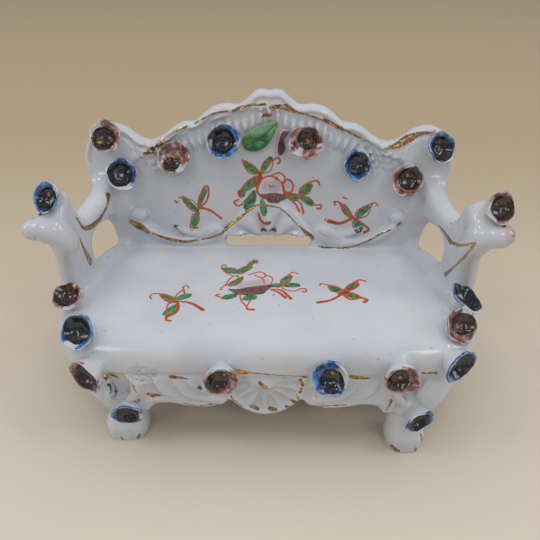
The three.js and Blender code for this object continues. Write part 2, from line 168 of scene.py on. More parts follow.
# Distances of many points to what has been modelled so far. Each tool works in a box of x, y and z, and in
# the room around it. `soft` is the width in mm over which a shape runs into what is there.
class Clay:
    room = 4.5

    def __init__(self, points):
        self.x, self.y, self.z = points.T
        self.d = np.full(len(points), 50.0)

    def work(self, box, tool):
        (x0, x1), (y0, y1), (z0, z1) = box
        r = self.room
        near = (self.z > z0 - r) & (self.z < z1 + r) & (self.y > y0 - r) & (self.y < y1 + r)
        near &= (self.x > x0 - r) & (self.x < x1 + r)
        i = np.nonzero(near)[0]
        if len(i):
            self.d[i] = tool(self.d[i], self.x[i], self.y[i], self.z[i])

    # joined with a fillet of about `soft`: the lesser distance, less a quarter of soft where they meet
    def add(self, box, shape, soft=0.8):
        def tool(d, x, y, z):
            other = shape(x, y, z)
            near = np.maximum(soft - abs(d - other), 0) / soft
            return np.minimum(d, other) - near * near * soft / 4
        self.work(box, tool)

    # cut away with a rounded edge: the greater distance, and a quarter of soft more where they meet
    def cut(self, box, shape, soft=0.8):
        def tool(d, x, y, z):
            other = -shape(x, y, z)
            near = np.maximum(soft - abs(d - other), 0) / soft
            return np.maximum(d, other) + near * near * soft / 4
        self.work(box, tool)

    # raises the surface by the relief's height in mm, or sinks it where that is negative
    def press(self, box, relief):
        self.work(box, lambda d, x, y, z: d - relief(x, y, z) * (abs(d) < 6))

    # a limb along a path given by its stations, with its box worked out from them
    def stroke(self, stations, soft=0.8, pieces=5, squeeze=1.0, cut=False):
        path = smoothPath(stations, pieces=pieces)
        big = path[:, 3].max()
        box = [(path[:, i].min() - big, path[:, i].max() + big) for i in range(3)]
        (self.cut if cut else self.add)(box, lambda x, y, z: limb(x, y, z, path, squeeze), soft)


# The settee

# Stations x, y, z and radius brought to one side, -1 or 1.
def onSide(side, path):
    return [(side * x, y, z, r) for x, y, z, r in path]


seat = {
    "top": 36.3,
    "plan": [[0, 21.6], [28, 21.6], [40, 20.8], [46, 16.8], [49.2, 11], [52, 5], [55.4, -1], [57.4, -7],
             [57.6, -13.2], [56, -19.6], [52.8, -25.2], [48.2, -29], [42, -30.2], [28, -30.4], [0, -30.6]],
    # the wall's section, as distance out from the plan and height
    "rolled": [[-3.2, 15.7], [-2.6, 16.6], [-2, 18.4], [-1.6, 21.6], [-1.7, 24.4], [-1.3, 25.4], [-0.2, 26.6],
               [0, 28.6], [-0.1, 30.8], [-0.9, 32.8], [-2.7, 34.5], [-5.4, 35.6], [-9, 36.2], [-14.5, 36.5],
               [-20, 36.6], [-26, 36.7]],
    "inside": [[-60, 36.7], [-60, 30.5], [-10.4, 30.5], [-6.8, 28.8], [-4.9, 24], [-5.2, 15.6]],
    # what is open between the legs: in x and z under the rear, in y and z under the sides
    "rearArch": [[-32, -9], [-31.5, 12], [-27, 16.6], [0, 17.4], [27, 16.6], [31.5, 12], [32, -9]],
    "sideArch": [[-18, -9], [-17, 12], [-13, 16.6], [-4, 17.4], [4, 16.6], [8.6, 12], [9.4, -9]],
    "rearFrom": 8, "archSoft": 1.4,
}
seatPlan = Outline(smoothPath(bothHalves(seat["plan"]), closed=True))
seatWall = Outline(np.vstack([smoothPath(seat["rolled"]), seat["inside"]]), margin=12)
rearPlan = Outline(seat["rearArch"])
sidePlan = Outline(seat["sideArch"])


# The wall's section carried round the plan, less an arch under the rear and one from side to side.
def modelSeat(clay):
    clay.add([(-59, 59), (-32, 23), (15, 38)], lambda x, y, z: seatWall(seatPlan(x, y), z))
    clay.cut([(-34, 34), (8, 40), (0, 18)],
             lambda x, y, z: np.maximum(rearPlan(x, z), seat["rearFrom"] - y), seat["archSoft"])
    clay.cut([(-70, 70), (-19, 11), (0, 18)], lambda x, y, z: sidePlan(y, z), seat["archSoft"])


apron = {
    "front": -30.3, "rear": -26.6, "edge": 0.9, "hub": (-0.4, 24.2), "reach": 12.6, "flutes": 7,
    "fluteDepth": 1.0, "rimBead": 0.35, "dish": 0.5, "hemBead": 0.45,
    "button": (-0.1, 23.3), "buttonSize": (2.8, 1.3, 1.6), "buttonProud": 0.1,
    "shellHem": [[0, 11.5], [2.6, 11.8], [5, 12.9], [7.4, 14.9], [9.4, 17.3]],
    "hem": [[9.4, 17.3], [11.9, 15.3], [16, 14.1], [21, 14.6], [25.6, 15.8], [29.4, 15], [31.6, 12.4]],
    "end": [[34.5, 13], [36.5, 25.6]],
    # leafy scrolls: stations x, z and radius on the right half
    "scrolls": [
        [(12.0, 17.2, 1.3), (13.4, 17.6, 1.5), (14.8, 17.6, 1.2)],
        [(11.4, 22.4, 0.6), (13.0, 23.2, 1.0), (15.2, 22.4, 1.1), (16.2, 20.4, 0.9), (15.4, 19.6, 0.7)],
        [(16.6, 17.4, 0.6), (19.4, 18.6, 1.2), (22.0, 21.0, 1.2), (23.4, 24.0, 0.6)],
        [(18.0, 21.6, 0.5), (19.4, 22.8, 1.0), (20.4, 24.4, 0.6)],
        [(22.2, 17.8, 0.5), (25.4, 19.2, 1.2), (27.8, 21.8, 1.2), (28.8, 24.4, 0.5)],
        [(16.0, 15.8, 0.5), (20.6, 16.2, 0.8), (26.0, 17.4, 1.0), (30.4, 17.2, 1.1), (33.4, 13.8, 0.7)],
    ],
}
hemLine = np.vstack([smoothPath(apron["shellHem"])[:-1], smoothPath(apron["hem"]), apron["end"]])
apronPlan = Outline(np.vstack([hemLine, (hemLine * [-1, 1])[:0:-1]]), cell=0.3)


# Carved work on the front apron: a dished shell of flutes round a button, a bead along the hem and
# leafy scrolls, each a tapering limb half sunk into the face.
def modelApron(clay):
    half = (apron["rear"] - apron["front"]) / 2
    face = apron["front"]
    hubX, hubZ = apron["hub"]
    buttonX, buttonZ = apron["button"]
    shellBox = [(-13, 13), (-33, -28), (11, 26)]

    def dish(x, y, z):
        return apron["dish"] * (np.hypot(x - hubX, z - hubZ) < 13) * hump(np.hypot(x, z - 23), 0, 12.5)

    def shell(x, y, z):
        away = np.hypot(x - hubX, z - hubZ)
        turn = np.arctan2(x - hubX, hubZ - z)
        rim = apron["reach"] * (1 - 0.1 * abs(np.sin(turn)))
        valley = np.sin(turn * apron["flutes"] * 180 / 168) ** 2
        between = ramp(away, 2.6, 7.5) * (1 - ramp(away, rim - 3.4, rim - 1.0))
        raised = apron["rimBead"] * hump(away, rim - 0.8, 1.1) - apron["fluteDepth"] * valley * between
        return np.where((z < hubZ + 1.6) & (away < rim + 1), raised, 0) * (y < face + 2)

    def hemBead(x, y, z):
        bead = apron["hemBead"] * hump(apronPlan(x, z), -1.1, 1.1)
        return bead * (z < 22) * (abs(x) > 8.5) * (y < face + 2)

    clay.add([(-38, 38), (-31, -26), (11, 26)],
             lambda x, y, z: slab(apronPlan(x, z), y - face - half, half, apron["edge"]), 1.2)
    clay.press(shellBox, dish)
    clay.press(shellBox, shell)
    clay.press([(-38, 38), (-33, -28), (11, 26)], hemBead)
    button = (buttonX, face - apron["buttonProud"], buttonZ)
    clay.add([(-4, 3), (-32, -29), (21, 25)], lambda x, y, z: egg(x, y, z, button, apron["buttonSize"]), 0.6)
    for side in (-1, 1):
        for line in apron["scrolls"]:
            clay.stroke([(side * x, face + 0.2, z, r) for x, z, r in line], 0.8)


legs = {
    # stations x, y, z and radius on the right
    "front": [(44.6, -22.6, 25, 5.2), (44.0, -24.2, 20, 6.4), (41.6, -25.6, 16, 6.2),
              (39.0, -26.7, 12.6, 5.0), (37.6, -27.2, 9.6, 4.3), (37.9, -27.4, 6.6, 4.7),
              (38.4, -27.6, 4.2, 5.3)],
    "rear": [(41, 14.6, 24, 5.2), (40.4, 15.4, 17, 5.2), (38.4, 16.2, 10, 4.4), (38.6, 16.8, 4, 5.2)],
    "knees": [
        [(34.6, -29.4, 25.4, 0.5), (33.6, -30.4, 22.6, 0.9), (34.6, -30.7, 19.4, 1.1),
         (36.4, -30.7, 16.6, 1.0), (35.8, -30.2, 13.4, 0.5)],
        [(42.6, -28.9, 24.0, 0.4), (40.8, -30.2, 22.2, 0.8), (40.2, -30.5, 19.6, 0.8),
         (41.4, -30.0, 17.2, 0.4)],
    ],
    "flatFront": 0.82, "flatRear": 0.88,  # a limb's depth as a share of its width
    # side, how far back the leg's foot is set, its middle in x and half the width of its flat part
    "feet": ((-1, 2.6, -39.8, 5.5), (1, -1.2, 38.8, 4.7)),
    "footY": -27.7, "toes": (-2.2, 2.2), "rearFoot": (38.6, 16.8, 2), "rearFootSize": (5.4, 4.8, 4.4),
}


# Four cabriole legs: a limb that swells at the knee, a rounded foot with notched toes, and on each
# front knee a pair of upright scrolls.
def modelLegs(clay):
    for side, setBack, footX, half in legs["feet"]:
        shift = lambda z: setBack * (1 - z / 24)
        front = [(side * x, y + shift(z), z, r) for x, y, z, r in legs["front"]]
        clay.stroke(front, 1.6, squeeze=legs["flatFront"])
        footY = legs["footY"] + shift(3)
        clay.add([(footX - 7, footX + 7), (footY - 6, footY + 6), (-1, 8)],
                 lambda x, y, z: slab(slab(abs(x - footX) - half, y - footY, 4.9, 3.6), z - 2.6, 4.8, 3.4),
                 2.0)
        for toe in legs["toes"]:
            notch = [(footX + toe, footY - 5.6, -1, 1.0), (footX + toe, footY - 5.6, 1.6, 0.9),
                     (footX + toe * 0.9, footY - 5.2, 4.4, 0.25)]
            clay.stroke(notch, 0.7, cut=True)
        for knee in legs["knees"]:
            clay.stroke([(side * x, y + shift(z) * 0.2, z, r) for x, y, z, r in knee], 1.5)
        clay.stroke(onSide(side, legs["rear"]), 1.6, squeeze=legs["flatRear"])
        x0, y0, z0 = legs["rearFoot"]
        clay.add([(side * x0 - 6, side * x0 + 6), (11, 22), (-1, 7)],
                 lambda x, y, z: egg(x, y, z, (side * x0, y0, z0), legs["rearFootSize"]), 1.4)


back = {
    "front": 17.0, "thick": 4.5, "edge": 1.9, "lean": math.tan(math.radians(9)), "recess": 1.35,
    "outline": [[45, 31], [47.5, 37], [48.8, 42], [50.3, 46.4], [52.3, 51.5], [53.9, 57],
                [54.9, 61.6], [54.1, 66], [52.2, 69.6], [49.6, 71.9], [46.4, 72.7], [43.2, 72.2],
                [40.6, 70.8], [38.5, 69.2], [36.5, 68.2], [34, 68.1], [31, 69.4], [27.6, 71.9],
                [24.6, 73.3], [21.8, 73.5], [19.2, 75.5], [16.2, 77.5], [12.4, 78.4], [8.7, 78.3],
                [6.1, 80.1], [4, 81.9], [1.6, 82.4], [0, 82.1]],
    "panel": [[0, 49.8], [5.4, 48.6], [8.8, 45.9], [11.4, 42.6], [14.7, 39.5], [21, 37.9], [28.5, 38],
              [36.4, 40.6], [41, 44.8], [42.6, 50], [42.4, 57], [40, 61.8], [35.3, 64.2], [31, 66.8],
              [23, 71], [11.5, 75.4], [0, 77.6]],
}
# Relief of the back. Ribs, groove and roll: height, and at what distance to the edge, with their reach. The
# ribs are rays of a hub on the middle line. Scrolls: stations x, z and radius on the right half.
carved = {
    "ribs": (1.35, -6.2, 2.9), "ribHub": 18, "ribTurns": 74, "crestFrom": 62,
    "groove": (0.4, -2.1, 0.9), "edgeRoll": (0.3, -0.8, 1.2),
    "stipple": 0.22, "waves": ((2.7, 0.8), (-1.3, 2.5), (2.0, -2.2), (0.4, 3.3), (3.4, 1.9)),
    "shell": 1.9, "shellHub": 36.4, "shellTurns": 4.6,
    "scroll": [(15.0, 39.3, 0.6), (18.8, 37.7, 1.2), (24.0, 37.1, 1.5), (29.4, 37.5, 1.6), (34.8, 39.4, 1.5),
               (39.0, 42.8, 1.3), (40.8, 46.0, 0.9)],
    "leaf": [(19.4, 39.6, 1.5), (23.0, 39.5, 1.3), (26.4, 40.4, 1.0), (29.2, 41.8, 0.5)],
    "leafCut": [(15.4, 42.0, 0.2), (16.6, 40.2, 0.45), (19.0, 39.4, 0.2)],
    "earCut": [(44.6, 70.6, 0.1), (41.4, 69.4, 0.3), (39.8, 67.2, 0.35), (39.4, 65.0, 0.1)],
    "ball": (40.0, 45.6), "ballSize": (2.6, 2.2, 2.5), "bud": (17.6, 40.4), "budSize": (3.7, 2.0, 2.6),
}
# The slot between seat and back: half its width, its middle's height and half its thickness, rounded by
# `edge`; then the same of its floor at the front, and how much that falls for each millimetre backwards.
slot = {"half": 13.6, "z": 37.7, "thick": 1.5, "edge": 1.4, "floorZ": 37.5, "floorThick": 1.6, "fall": 0.62}
backPlan = Outline(smoothPath(bothHalves([[0, 31]] + back["outline"])[1:], pieces=5), cell=0.3)
panelPlan = Outline(smoothPath(bothHalves(back["panel"]), closed=True))


# Depth of the back's front face: further back by `lean` for each millimetre of height.
def backFace(z):
    return back["front"] + back["lean"] * (z - seat["top"])


# Depth behind the back's face as it would be at the height of the seat.
def backDepth(y, z):
    return y - back["lean"] * (z - seat["top"]) - back["front"]


# Stations x, z and radius brought to one side of the back, with their axis so deep behind its face.
def onBack(side, path, deep):
    return [(side * x, backFace(z) + deep, z, r) for x, z, r in path]


# Ribs of the half shell over the slot: rays from a point below it, strong between two radii.
def shellRibs(x, z):
    ray = np.arctan2(x, z - carved["shellHub"])
    away = np.hypot(x / 1.12, z - carved["shellHub"])
    inside = ramp(away, 3.0, 5.5) * (1 - ramp(away, 8.6, 11.6)) * ramp(z, 38.4, 39.4)
    inside = inside * ramp(12.8 - abs(x), 0, 1.5)
    return (np.sqrt(np.cos(ray * carved["shellTurns"]) ** 2 + 0.03) - 0.5) * inside


# The back: a leaning rounded slab with its panel sunk behind a rim. Ribs stand like rays under the
# crest, from 3 to 9 mm inside the edge; scrolls, balls and a fluted shell lie below.
def modelBack(clay):
    whole = [(-56, 56), (14, 31), (30, 84)]
    half = back["thick"] / 2

    def carving(x, y, z):
        edge = backPlan(x, z)
        nearCrest = z > carved["crestFrom"]
        ray = np.arctan2(x, z - carved["ribHub"])
        high, at, reach = carved["ribs"]
        ribs = high * np.cos(ray * carved["ribTurns"]) ** 2 * hump(edge, at, reach)
        ribs = ribs * nearCrest * (1 - ramp(abs(x), 27, 33))
        grain = sum(np.sin(x * a + z * b + 2.3 * a) for a, b in carved["waves"])
        stipple = carved["stipple"] * grain * hump(abs(x), 31, 10) * hump(z, 63.5, 8)
        high, at, reach = carved["groove"]
        groove = high * hump(edge, at, reach) * nearCrest
        high, at, reach = carved["edgeRoll"]
        edgeRoll = high * hump(edge, at, reach)
        return (ribs + stipple - groove + edgeRoll) * (backDepth(y, z) < 3)

    clay.add(whole, lambda x, y, z: slab(backPlan(x, z), backDepth(y, z) - half, half, back["edge"]), 1.6)
    clay.cut([(-44, 44), (12, 26), (36, 80)],
             lambda x, y, z: slab(panelPlan(x, z), backDepth(y, z) + 3, 3 + back["recess"], 0.9), 1.3)
    clay.press(whole, carving)
    clay.press([(-15, 15), (12, 24), (38, 50)],
               lambda x, y, z: carved["shell"] * shellRibs(x, z) * (backDepth(y, z) < 3))
    ballX, ballZ = carved["ball"]
    budX, budZ = carved["bud"]
    for side in (-1, 1):
        ball = (side * ballX, backFace(ballZ) + 0.6, ballZ)
        bud = (side * budX, backFace(40.6) + 0.7, budZ)
        clay.stroke(onBack(side, carved["scroll"], 0.5), 1.1)
        clay.add([(side * 40.4 - 3, side * 40.4 + 3), (16, 22), (43, 50)],
                 lambda x, y, z: egg(x, y, z, ball, carved["ballSize"]), 0.8)
        clay.add([(side * 18 - 4, side * 18 + 4), (16, 22), (39, 46)],
                 lambda x, y, z: egg(x, y, z, bud, carved["budSize"], side * 0.2), 0.8)
        clay.stroke(onBack(side, carved["leaf"], 0.7), 0.9)
        clay.stroke(onBack(side, carved["leafCut"], -1.2), 0.5, cut=True)
        clay.stroke(onBack(side, carved["earCut"], 0.1), 0.9, cut=True)
    across = lambda x: abs(x) - slot["half"]
    window = lambda x, z: slab(across(x), z - slot["z"] - 0.25 * np.cos(x / 9), slot["thick"], slot["edge"])
    clay.cut([(-14, 14), (10, 30), (35, 40)], lambda x, y, z: np.maximum(window(x, z), 12.5 - y), 0.5)
    # the slot's floor falls away to the rear, along the line of sight
    below = lambda y, z: z - slot["floorZ"] + slot["fall"] * (y - 17.2)
    fall = lambda x, y, z: slab(across(x), below(y, z), slot["floorThick"], slot["edge"])
    clay.cut([(-14, 14), (15, 27), (30, 40)], lambda x, y, z: np.maximum(fall(x, y, z), 16.4 - y), 0.5)


arm = {
    "middle": 52.4, "splay": 0.12, "rearTurn": 0.09, "footTurn": 0.35, "foot": 39, "half": 3.3, "edge": 2.5,
    # outline in y and z
    "profile": [[21, 57.6], [15, 55.4], [9, 54.2], [3, 53.8], [-0.4, 56], [-2.4, 60.2], [-5, 63.2],
                [-8.4, 63.8], [-11.6, 61.6], [-14, 58.6], [-13, 55], [-10.2, 52], [-8.6, 48.5],
                [-8, 44], [-8.2, 40], [-8.8, 36], [-9.4, 31], [5.6, 31], [4.6, 37], [2.7, 42],
                [3.2, 46], [6, 47.7], [11, 47.2], [17, 45.6], [21, 44]],
    # stations x, y, z and radius on the right; the rolls differ a little, being made by hand
    "roll": {
        -1: [(59.0, -11.6, 58.0, 2.9), (57.7, -11.6, 58.2, 2.7), (56.4, -11.6, 58.3, 3.1),
             (55.2, -11.7, 58.1, 3.2), (53.6, -11.5, 57.4, 3.2), (52.1, -10.4, 54.3, 3.1)],
        1: [(59.9, -11.8, 57.6, 2.7), (58.6, -11.8, 57.5, 3.2), (57.2, -11.7, 57.5, 3.0),
            (55.8, -11.7, 57.6, 3.3), (54.2, -11.5, 57.2, 3.4), (53.6, -10.4, 54.2, 3.5)],
    },
    "post": [(53.2, -8.8, 50.6, 3.1), (53.7, -7.2, 46.6, 3.1), (54.2, -6.5, 42.4, 3.2),
             (54.0, -6.6, 37.6, 3.0)],
    "rail": [(44.8, 17.4, 35.2, 1.9), (47.4, 12.6, 35.4, 2.2), (49.8, 7.6, 35.4, 2.2), (52.2, 3, 35.1, 2.1)],
    "creases": 4,
}
armPlan = Outline(smoothPath(arm["profile"], closed=True, pieces=5), cell=0.3)


# How far out an arm's middle plane stands: further to the front, nearer towards its rear end and its foot.
def armMiddle(y, z):
    spread = arm["splay"] * (7 - y) - arm["rearTurn"] * np.maximum(0, y - 2)
    return arm["middle"] + spread - arm["footTurn"] * np.maximum(0, arm["foot"] - z)


# One arm: a plate with rounded edges that follows its own curve out, a roll that turns down into the
# post and a ball at its end; the seat's rim goes on under the opening as a low band.
def modelArms(clay):
    for side in (-1, 1):
        clay.add([sorted((side * 44, side * 60)), (-15, 22), (31, 65)],
                 lambda x, y, z: slab(armPlan(y, z), side * x - armMiddle(y, z), arm["half"], arm["edge"]),
                 3.0)
        clay.stroke(onSide(side, arm["roll"][side] + arm["post"]), 1.8)
        clay.stroke(onSide(side, arm["rail"]), 2.8)
    # a few lengthwise creases on the right arm's hump, left by the maker's fingers
    for k in range(arm["creases"]):
        crease = [(50.6, 2.4 - k, 52.6 + 1.4 * k, 0.2), (50.0, -2.6 - 0.6 * k, 55.6 + 1.6 * k, 0.75),
                  (50.6, -8.4, 57.4 + 1.6 * k, 0.2)]
        clay.stroke(crease, 0.5, cut=True)


scar = {"centre": (-31.8, -30.6, 26.3), "radius": 3.3, "wide": 1.35, "ridge": 0.2, "pits": 0.07,
        "waves": ((3.1, 5.3), (-4.7, 3.2), (6.7, 1.9), (1.3, -7.9), (8.3, 6.1))}


# The ring that a lost flower left on the front: a low ridge round pitted glaze.
def modelScar(clay):
    cx, cy, cz = scar["centre"]

    def relief(x, y, z):
        away = np.sqrt(((x - cx) / scar["wide"]) ** 2 + (y - cy) ** 2 + (z - cz) ** 2)
        pits = sum(np.sin(x * a + z * b + a * b) for a, b in scar["waves"])
        pits = scar["pits"] * pits * (1 - ramp(away, 2.2, 3.2))
        return scar["ridge"] * hump(away, scar["radius"], 0.7) + pits

    clay.press([(cx - 6, cx + 6), (cy - 4, cy + 4), (cz - 5, cz + 5)], relief)

# The applied flowers: middle of the rim, the way it faces, width across the rim and glaze. Turns are in
# degrees, 0 to the right and 90 up. Then: the turns between which colour is wiped off the rim; the heart's
# width as a share of the rim's and the turn it leans to; how far out the knob stands in mm, at which turn,
# and how much of it is gilt.
flowers = {
    "ear_left": ((-46.4, 18.3, 71.3), (0.13, -0.87, 0.48), 8.9, "pink",
        (110, 190), (0.74, 220), (2.3, 215, 1)),
    "back_left_low": ((-42.9, 17, 60.2), (0.4, -0.76, 0.51), 9.2, "blue",
        (110, 300), (0.84, 165), (2.2, 10, 0.4)),
    "back_left": ((-27.8, 18.7, 64.9), (-0.12, -0.79, 0.6), 9.8, "pink",
        (290, 320), (0.5, 250), (0.9, 120, 1)),
    "back_mid_left": ((-13.1, 19.4, 69.6), (-0.09, -0.88, 0.46), 9.9, "blue",
        (180, 200), (0.78, 160), (3.1, -5, 0.8)),
    "back_mid_right": ((10.6, 19.5, 69.5), (-0.02, -0.84, 0.55), 9.9, "pink",
        (215, 250), (0.62, 60), (0.9, 45, 1)),
    "back_right": ((26, 18.4, 63.1), (0.43, -0.81, 0.41), 9.4, "blue",
        (20, 80), (0.74, 20), (0.5, 250, 0)),
    "back_right_low": ((40.9, 17.4, 58.9), (0.03, -0.86, 0.51), 9.7, "pink",
        (70, 100), (0.7, 30), (1.5, 75, 0.6)),
    "ear_right": ((49.5, 17.9, 69), (0.42, -0.8, 0.42), 9.2, "blue",
        (250, 320), (0.82, 290), (0.6, 300, 0.4)),
    "arm_left": ((-54.7, -10.5, 66.6), (-0.34, -0.79, 0.51), 7.8, "blue",
        (20, 60), (0.8, 300), (1.0, 130, 0.7)),
    "arm_right": ((57.5, -11.6, 65.3), (0.37, -0.79, 0.49), 8.3, "pink",
        (150, 230), (0.8, 350), (0.3, 90, 0)),
    "end_left_back": ((-53.3, -15, 39.8), (-0.13, -0.42, 0.9), 8.4, "pink",
        (280, 330), (0.8, 150), (3.2, 80, 1)),
    "end_left_front": ((-47.3, -27.8, 38.1), (-0.32, -0.75, 0.58), 9.4, "blue",
        (230, 280), (0.78, 150), (1.8, -20, 0.6)),
    "corner_left": ((-45.5, -34.1, 28.5), (-0.44, -0.9, -0.05), 9.6, "pink",
        (20, 80), (0.8, 290), (0.5, 0, 0)),
    "end_right_back": ((53.4, -14.4, 40.2), (0.47, -0.14, 0.87), 9.8, "blue",
        (170, 260), (0.95, 0), (0.8, 60, 0)),
    "end_right_front": ((49.8, -23.9, 38.1), (0.33, -0.72, 0.61), 9.3, "pink",
        (20, 70), (0.64, 10), (0.4, 300, 0.9)),
    "corner_right": ((48.9, -31.9, 31.3), (0.49, -0.87, -0.03), 9.5, "blue",
        (300, 340), (0.86, 330), (0.7, 240, 0.5)),
    "front_left": ((-11.1, -34.9, 28.2), (0.09, -1, -0.03), 9.2, "pink",
        (60, 120), (0.64, 215), (1.0, 40, 0.7)),
    "front_mid": ((15.8, -34.7, 29.4), (-0.18, -0.94, 0.28), 9.6, "blue",
        (-30, 60), (0.66, 300), (0.8, 60, 0.7)),
    "front_right": ((33.7, -35.1, 29.4), (-0.02, -1, -0.04), 9.4, "pink",
        (100, 170), (0.62, 235), (0.9, 260, 0.7)),
    "foot_left": ((-36.8, -33.2, 13.7), (0.05, -0.98, -0.18), 8.3, "blue",
        (330, 360), (0.74, 265), (0.3, 0, 0)),
    "foot_right": ((40.5, -35.1, 14.5), (0.34, -0.93, -0.11), 8.0, "blue",
        (90, 150), (0.82, 280), (0.5, 0, 0)),
}
drawnWidth = 9.3  # mm, the width of the flower that bloomProfile draws
collar = {"deep": (6.8, 2.5), "middle": 2.3, "shallow": (5.1, 1.8), "soft": 1.6}  # way in and radius, in mm


# Slip pushed up round each flower's stem: a short limb, widest where it meets the body.
def modelCollars(clay):
    for centre, way, width, *_ in flowers.values():
        if centre[1] > 10:  # on the back the cups sit right on the face
            continue
        way = np.array(way) / np.linalg.norm(way)
        size = width / drawnWidth
        (deepIn, deepRadius), (shallowIn, shallowRadius) = collar["deep"], collar["shallow"]
        deep, shallow = (np.array(centre) - way * inwards * size for inwards in (deepIn, shallowIn))
        limbs = [(*deep, deepRadius * size), (*(deep + shallow) / 2, collar["middle"] * size),
                 (*shallow, shallowRadius * size)]
        clay.stroke(limbs, collar["soft"], pieces=2)


# Distance in mm of each point to the whole settee, whose feet are ground flat at height 0.
def setteeField(points):
    clay = Clay(points)
    modelSeat(clay)
    modelApron(clay)
    modelLegs(clay)
    modelBack(clay)
    modelArms(clay)
    modelScar(clay)
    modelCollars(clay)
    clay.work([(-70, 70), (-40, 40), (-5, 0)], lambda d, x, y, z: np.maximum(d, -z))
    return clay.d


# Steepest way out of the clay at each point and how steep it is, from differences over 0.1 mm.
def slope(field, points, step=0.05):
    sides = [field(points + step * e) - field(points - step * e) for e in np.eye(3)]
    grown = np.stack(sides, 1)
    size = np.linalg.norm(grown, axis=1, keepdims=True) + 1e-9
    return grown / size, size[:, 0] / (2 * step)


# Moves points onto the surface: each step goes back along the slope by the distance over its steepness.
def settle(field, points, rounds=3):
    for _ in range(rounds):
        way, steep = slope(field, points)
        shift = np.clip(field(points) / np.maximum(steep, 0.4), -0.5, 0.5)
        points = points - way * shift[:, None]
    return points


# Surface net: one point in each cell of a grid that the surface crosses, at the mean of the crossings
# of its edges, and a four-sided face round each grid edge that the surface crosses. The field is
# worked out on a coarse grid first, and on the fine grid only near the surface.
def surfaceNet(field, low, high, cell, block=4):
    blocks = np.ceil((high - low) / (cell * block)).astype(int) + 1
    count = blocks * block
    axes = [low[i] + cell * block * (np.arange(blocks[i]) + 0.5) - cell / 2 for i in range(3)]
    centres = np.stack(np.meshgrid(*axes, indexing="ij"), -1).reshape(-1, 3)
    rough = field(centres).reshape(blocks)
    grow = lambda a: a.repeat(block, 0).repeat(block, 1).repeat(block, 2)
    values = grow(rough).astype(np.float32)
    near = np.nonzero(grow(abs(rough) < cell * block * 1.35 + 0.8).ravel())[0]
    where = np.stack(np.unravel_index(near, count), 1)
    values.ravel()[near] = field(low + cell * where)
    inside = values < 0
    corners = [(i, j, k) for i in (0, 1) for j in (0, 1) for k in (0, 1)]
    part = lambda a, i, j, k: a[i:count[0] - 1 + i, j:count[1] - 1 + j, k:count[2] - 1 + k]
    total = sum(part(inside, *c).astype(np.int8) for c in corners)
    cells = np.nonzero((total > 0) & (total < 8))
    number = np.full(count - 1, -1)
    number[cells] = np.arange(len(cells[0]))
    at = [values[cells[0] + i, cells[1] + j, cells[2] + k] for i, j, k in corners]
    place = np.zeros((len(cells[0]), 3))
    crossings = np.zeros(len(cells[0]))
    for m, a in enumerate(corners):
        for n, b in enumerate(corners):
            if m < n and sum(abs(u - v) for u, v in zip(a, b)) == 1:
                crossed = (at[m] < 0) != (at[n] < 0)
                share = np.where(crossed, at[m] / np.where(crossed, at[m] - at[n], 1), 0)
                point = np.array(a) + share[:, None] * (np.array(b) - np.array(a))
                place += point * crossed[:, None]
                crossings += crossed
    points = low + cell * (np.stack(cells, 1) + place / crossings[:, None])
    faces = []
    for axis in range(3):
        one, two = (axis + 1) % 3, (axis + 2) % 3
        first = [slice(None)] * 3
        second = [slice(None)] * 3
        first[axis], second[axis] = slice(0, -1), slice(1, None)
        a, b = inside[tuple(first)], inside[tuple(second)]
        edge = np.stack(np.nonzero(a != b), 1)
        outward = a[tuple(edge.T)]
        around = []
        for di, dj in ((-1, -1), (0, -1), (0, 0), (-1, 0)):
            c = edge.copy()
            c[:, one] += di
            c[:, two] += dj
            around.append(number[tuple(c.T)])
        quad = np.stack(around, 1)
        faces.append(np.where(outward[:, None], quad, quad[:, ::-1]))
    return points, np.vstack(faces)


# Each four-sided face cut in two along its shorter diagonal.
def triangles(points, quads):
    a, b, c, d = (points[quads[:, i]] for i in range(4))
    short = np.linalg.norm(a - c, axis=1) < np.linalg.norm(b - d, axis=1)
    one = np.where(short[:, None], quads[:, [0, 1, 2]], quads[:, [0, 1, 3]])
    two = np.where(short[:, None], quads[:, [0, 2, 3]], quads[:, [1, 2, 3]])
    return np.vstack([one, two])


# Splits each edge of the marked triangles at its middle; a triangle with one, two or three split edges
# becomes two, three or four.
def split(points, faces, marked):
    ends = np.sort(np.stack([faces, np.roll(faces, -1, 1)], 2).reshape(-1, 2), axis=1)
    edges, which = np.unique(ends, axis=0, return_inverse=True)
    which = which.reshape(-1, 3)
    halved = np.zeros(len(edges), bool)
    halved[which[marked].ravel()] = True
    number = np.where(halved, len(points) + np.cumsum(halved) - 1, -1)
    points = np.vstack([points, points[edges[halved]].mean(1)])
    mids = number[which]
    count = (mids >= 0).sum(1)
    made = [faces[count == 0]]
    (a, b, c), (ab, bc, ca) = faces[count == 3].T, mids[count == 3].T
    for corners in ((a, ab, ca), (ab, b, bc), (ca, bc, c), (ab, bc, ca)):
        made.append(np.stack(corners, 1))
    for turn in range(3):
        turned, turnedMids = np.roll(faces, -turn, 1), np.roll(mids, -turn, 1)
        lone = (count == 1) & (turnedMids[:, 0] >= 0)
        (a, b, c), ab = turned[lone].T, turnedMids[lone, 0]
        made += [np.stack([a, ab, c], 1), np.stack([ab, b, c], 1)]
        pair = (count == 2) & (turnedMids[:, 2] < 0)
        (a, b, c), (ab, bc) = turned[pair].T, turnedMids[pair, :2].T
        made += [np.stack([ab, b, bc], 1), np.stack([a, ab, bc], 1), np.stack([a, bc, c], 1)]
    return points, np.vstack(made)


# Length of each triangle's longest edge.
def longestEdge(points, faces):
    sides = [points[faces[:, i]] - points[faces[:, i - 1]] for i in range(3)]
    return np.max([np.linalg.norm(side, axis=1) for side in sides], 0)


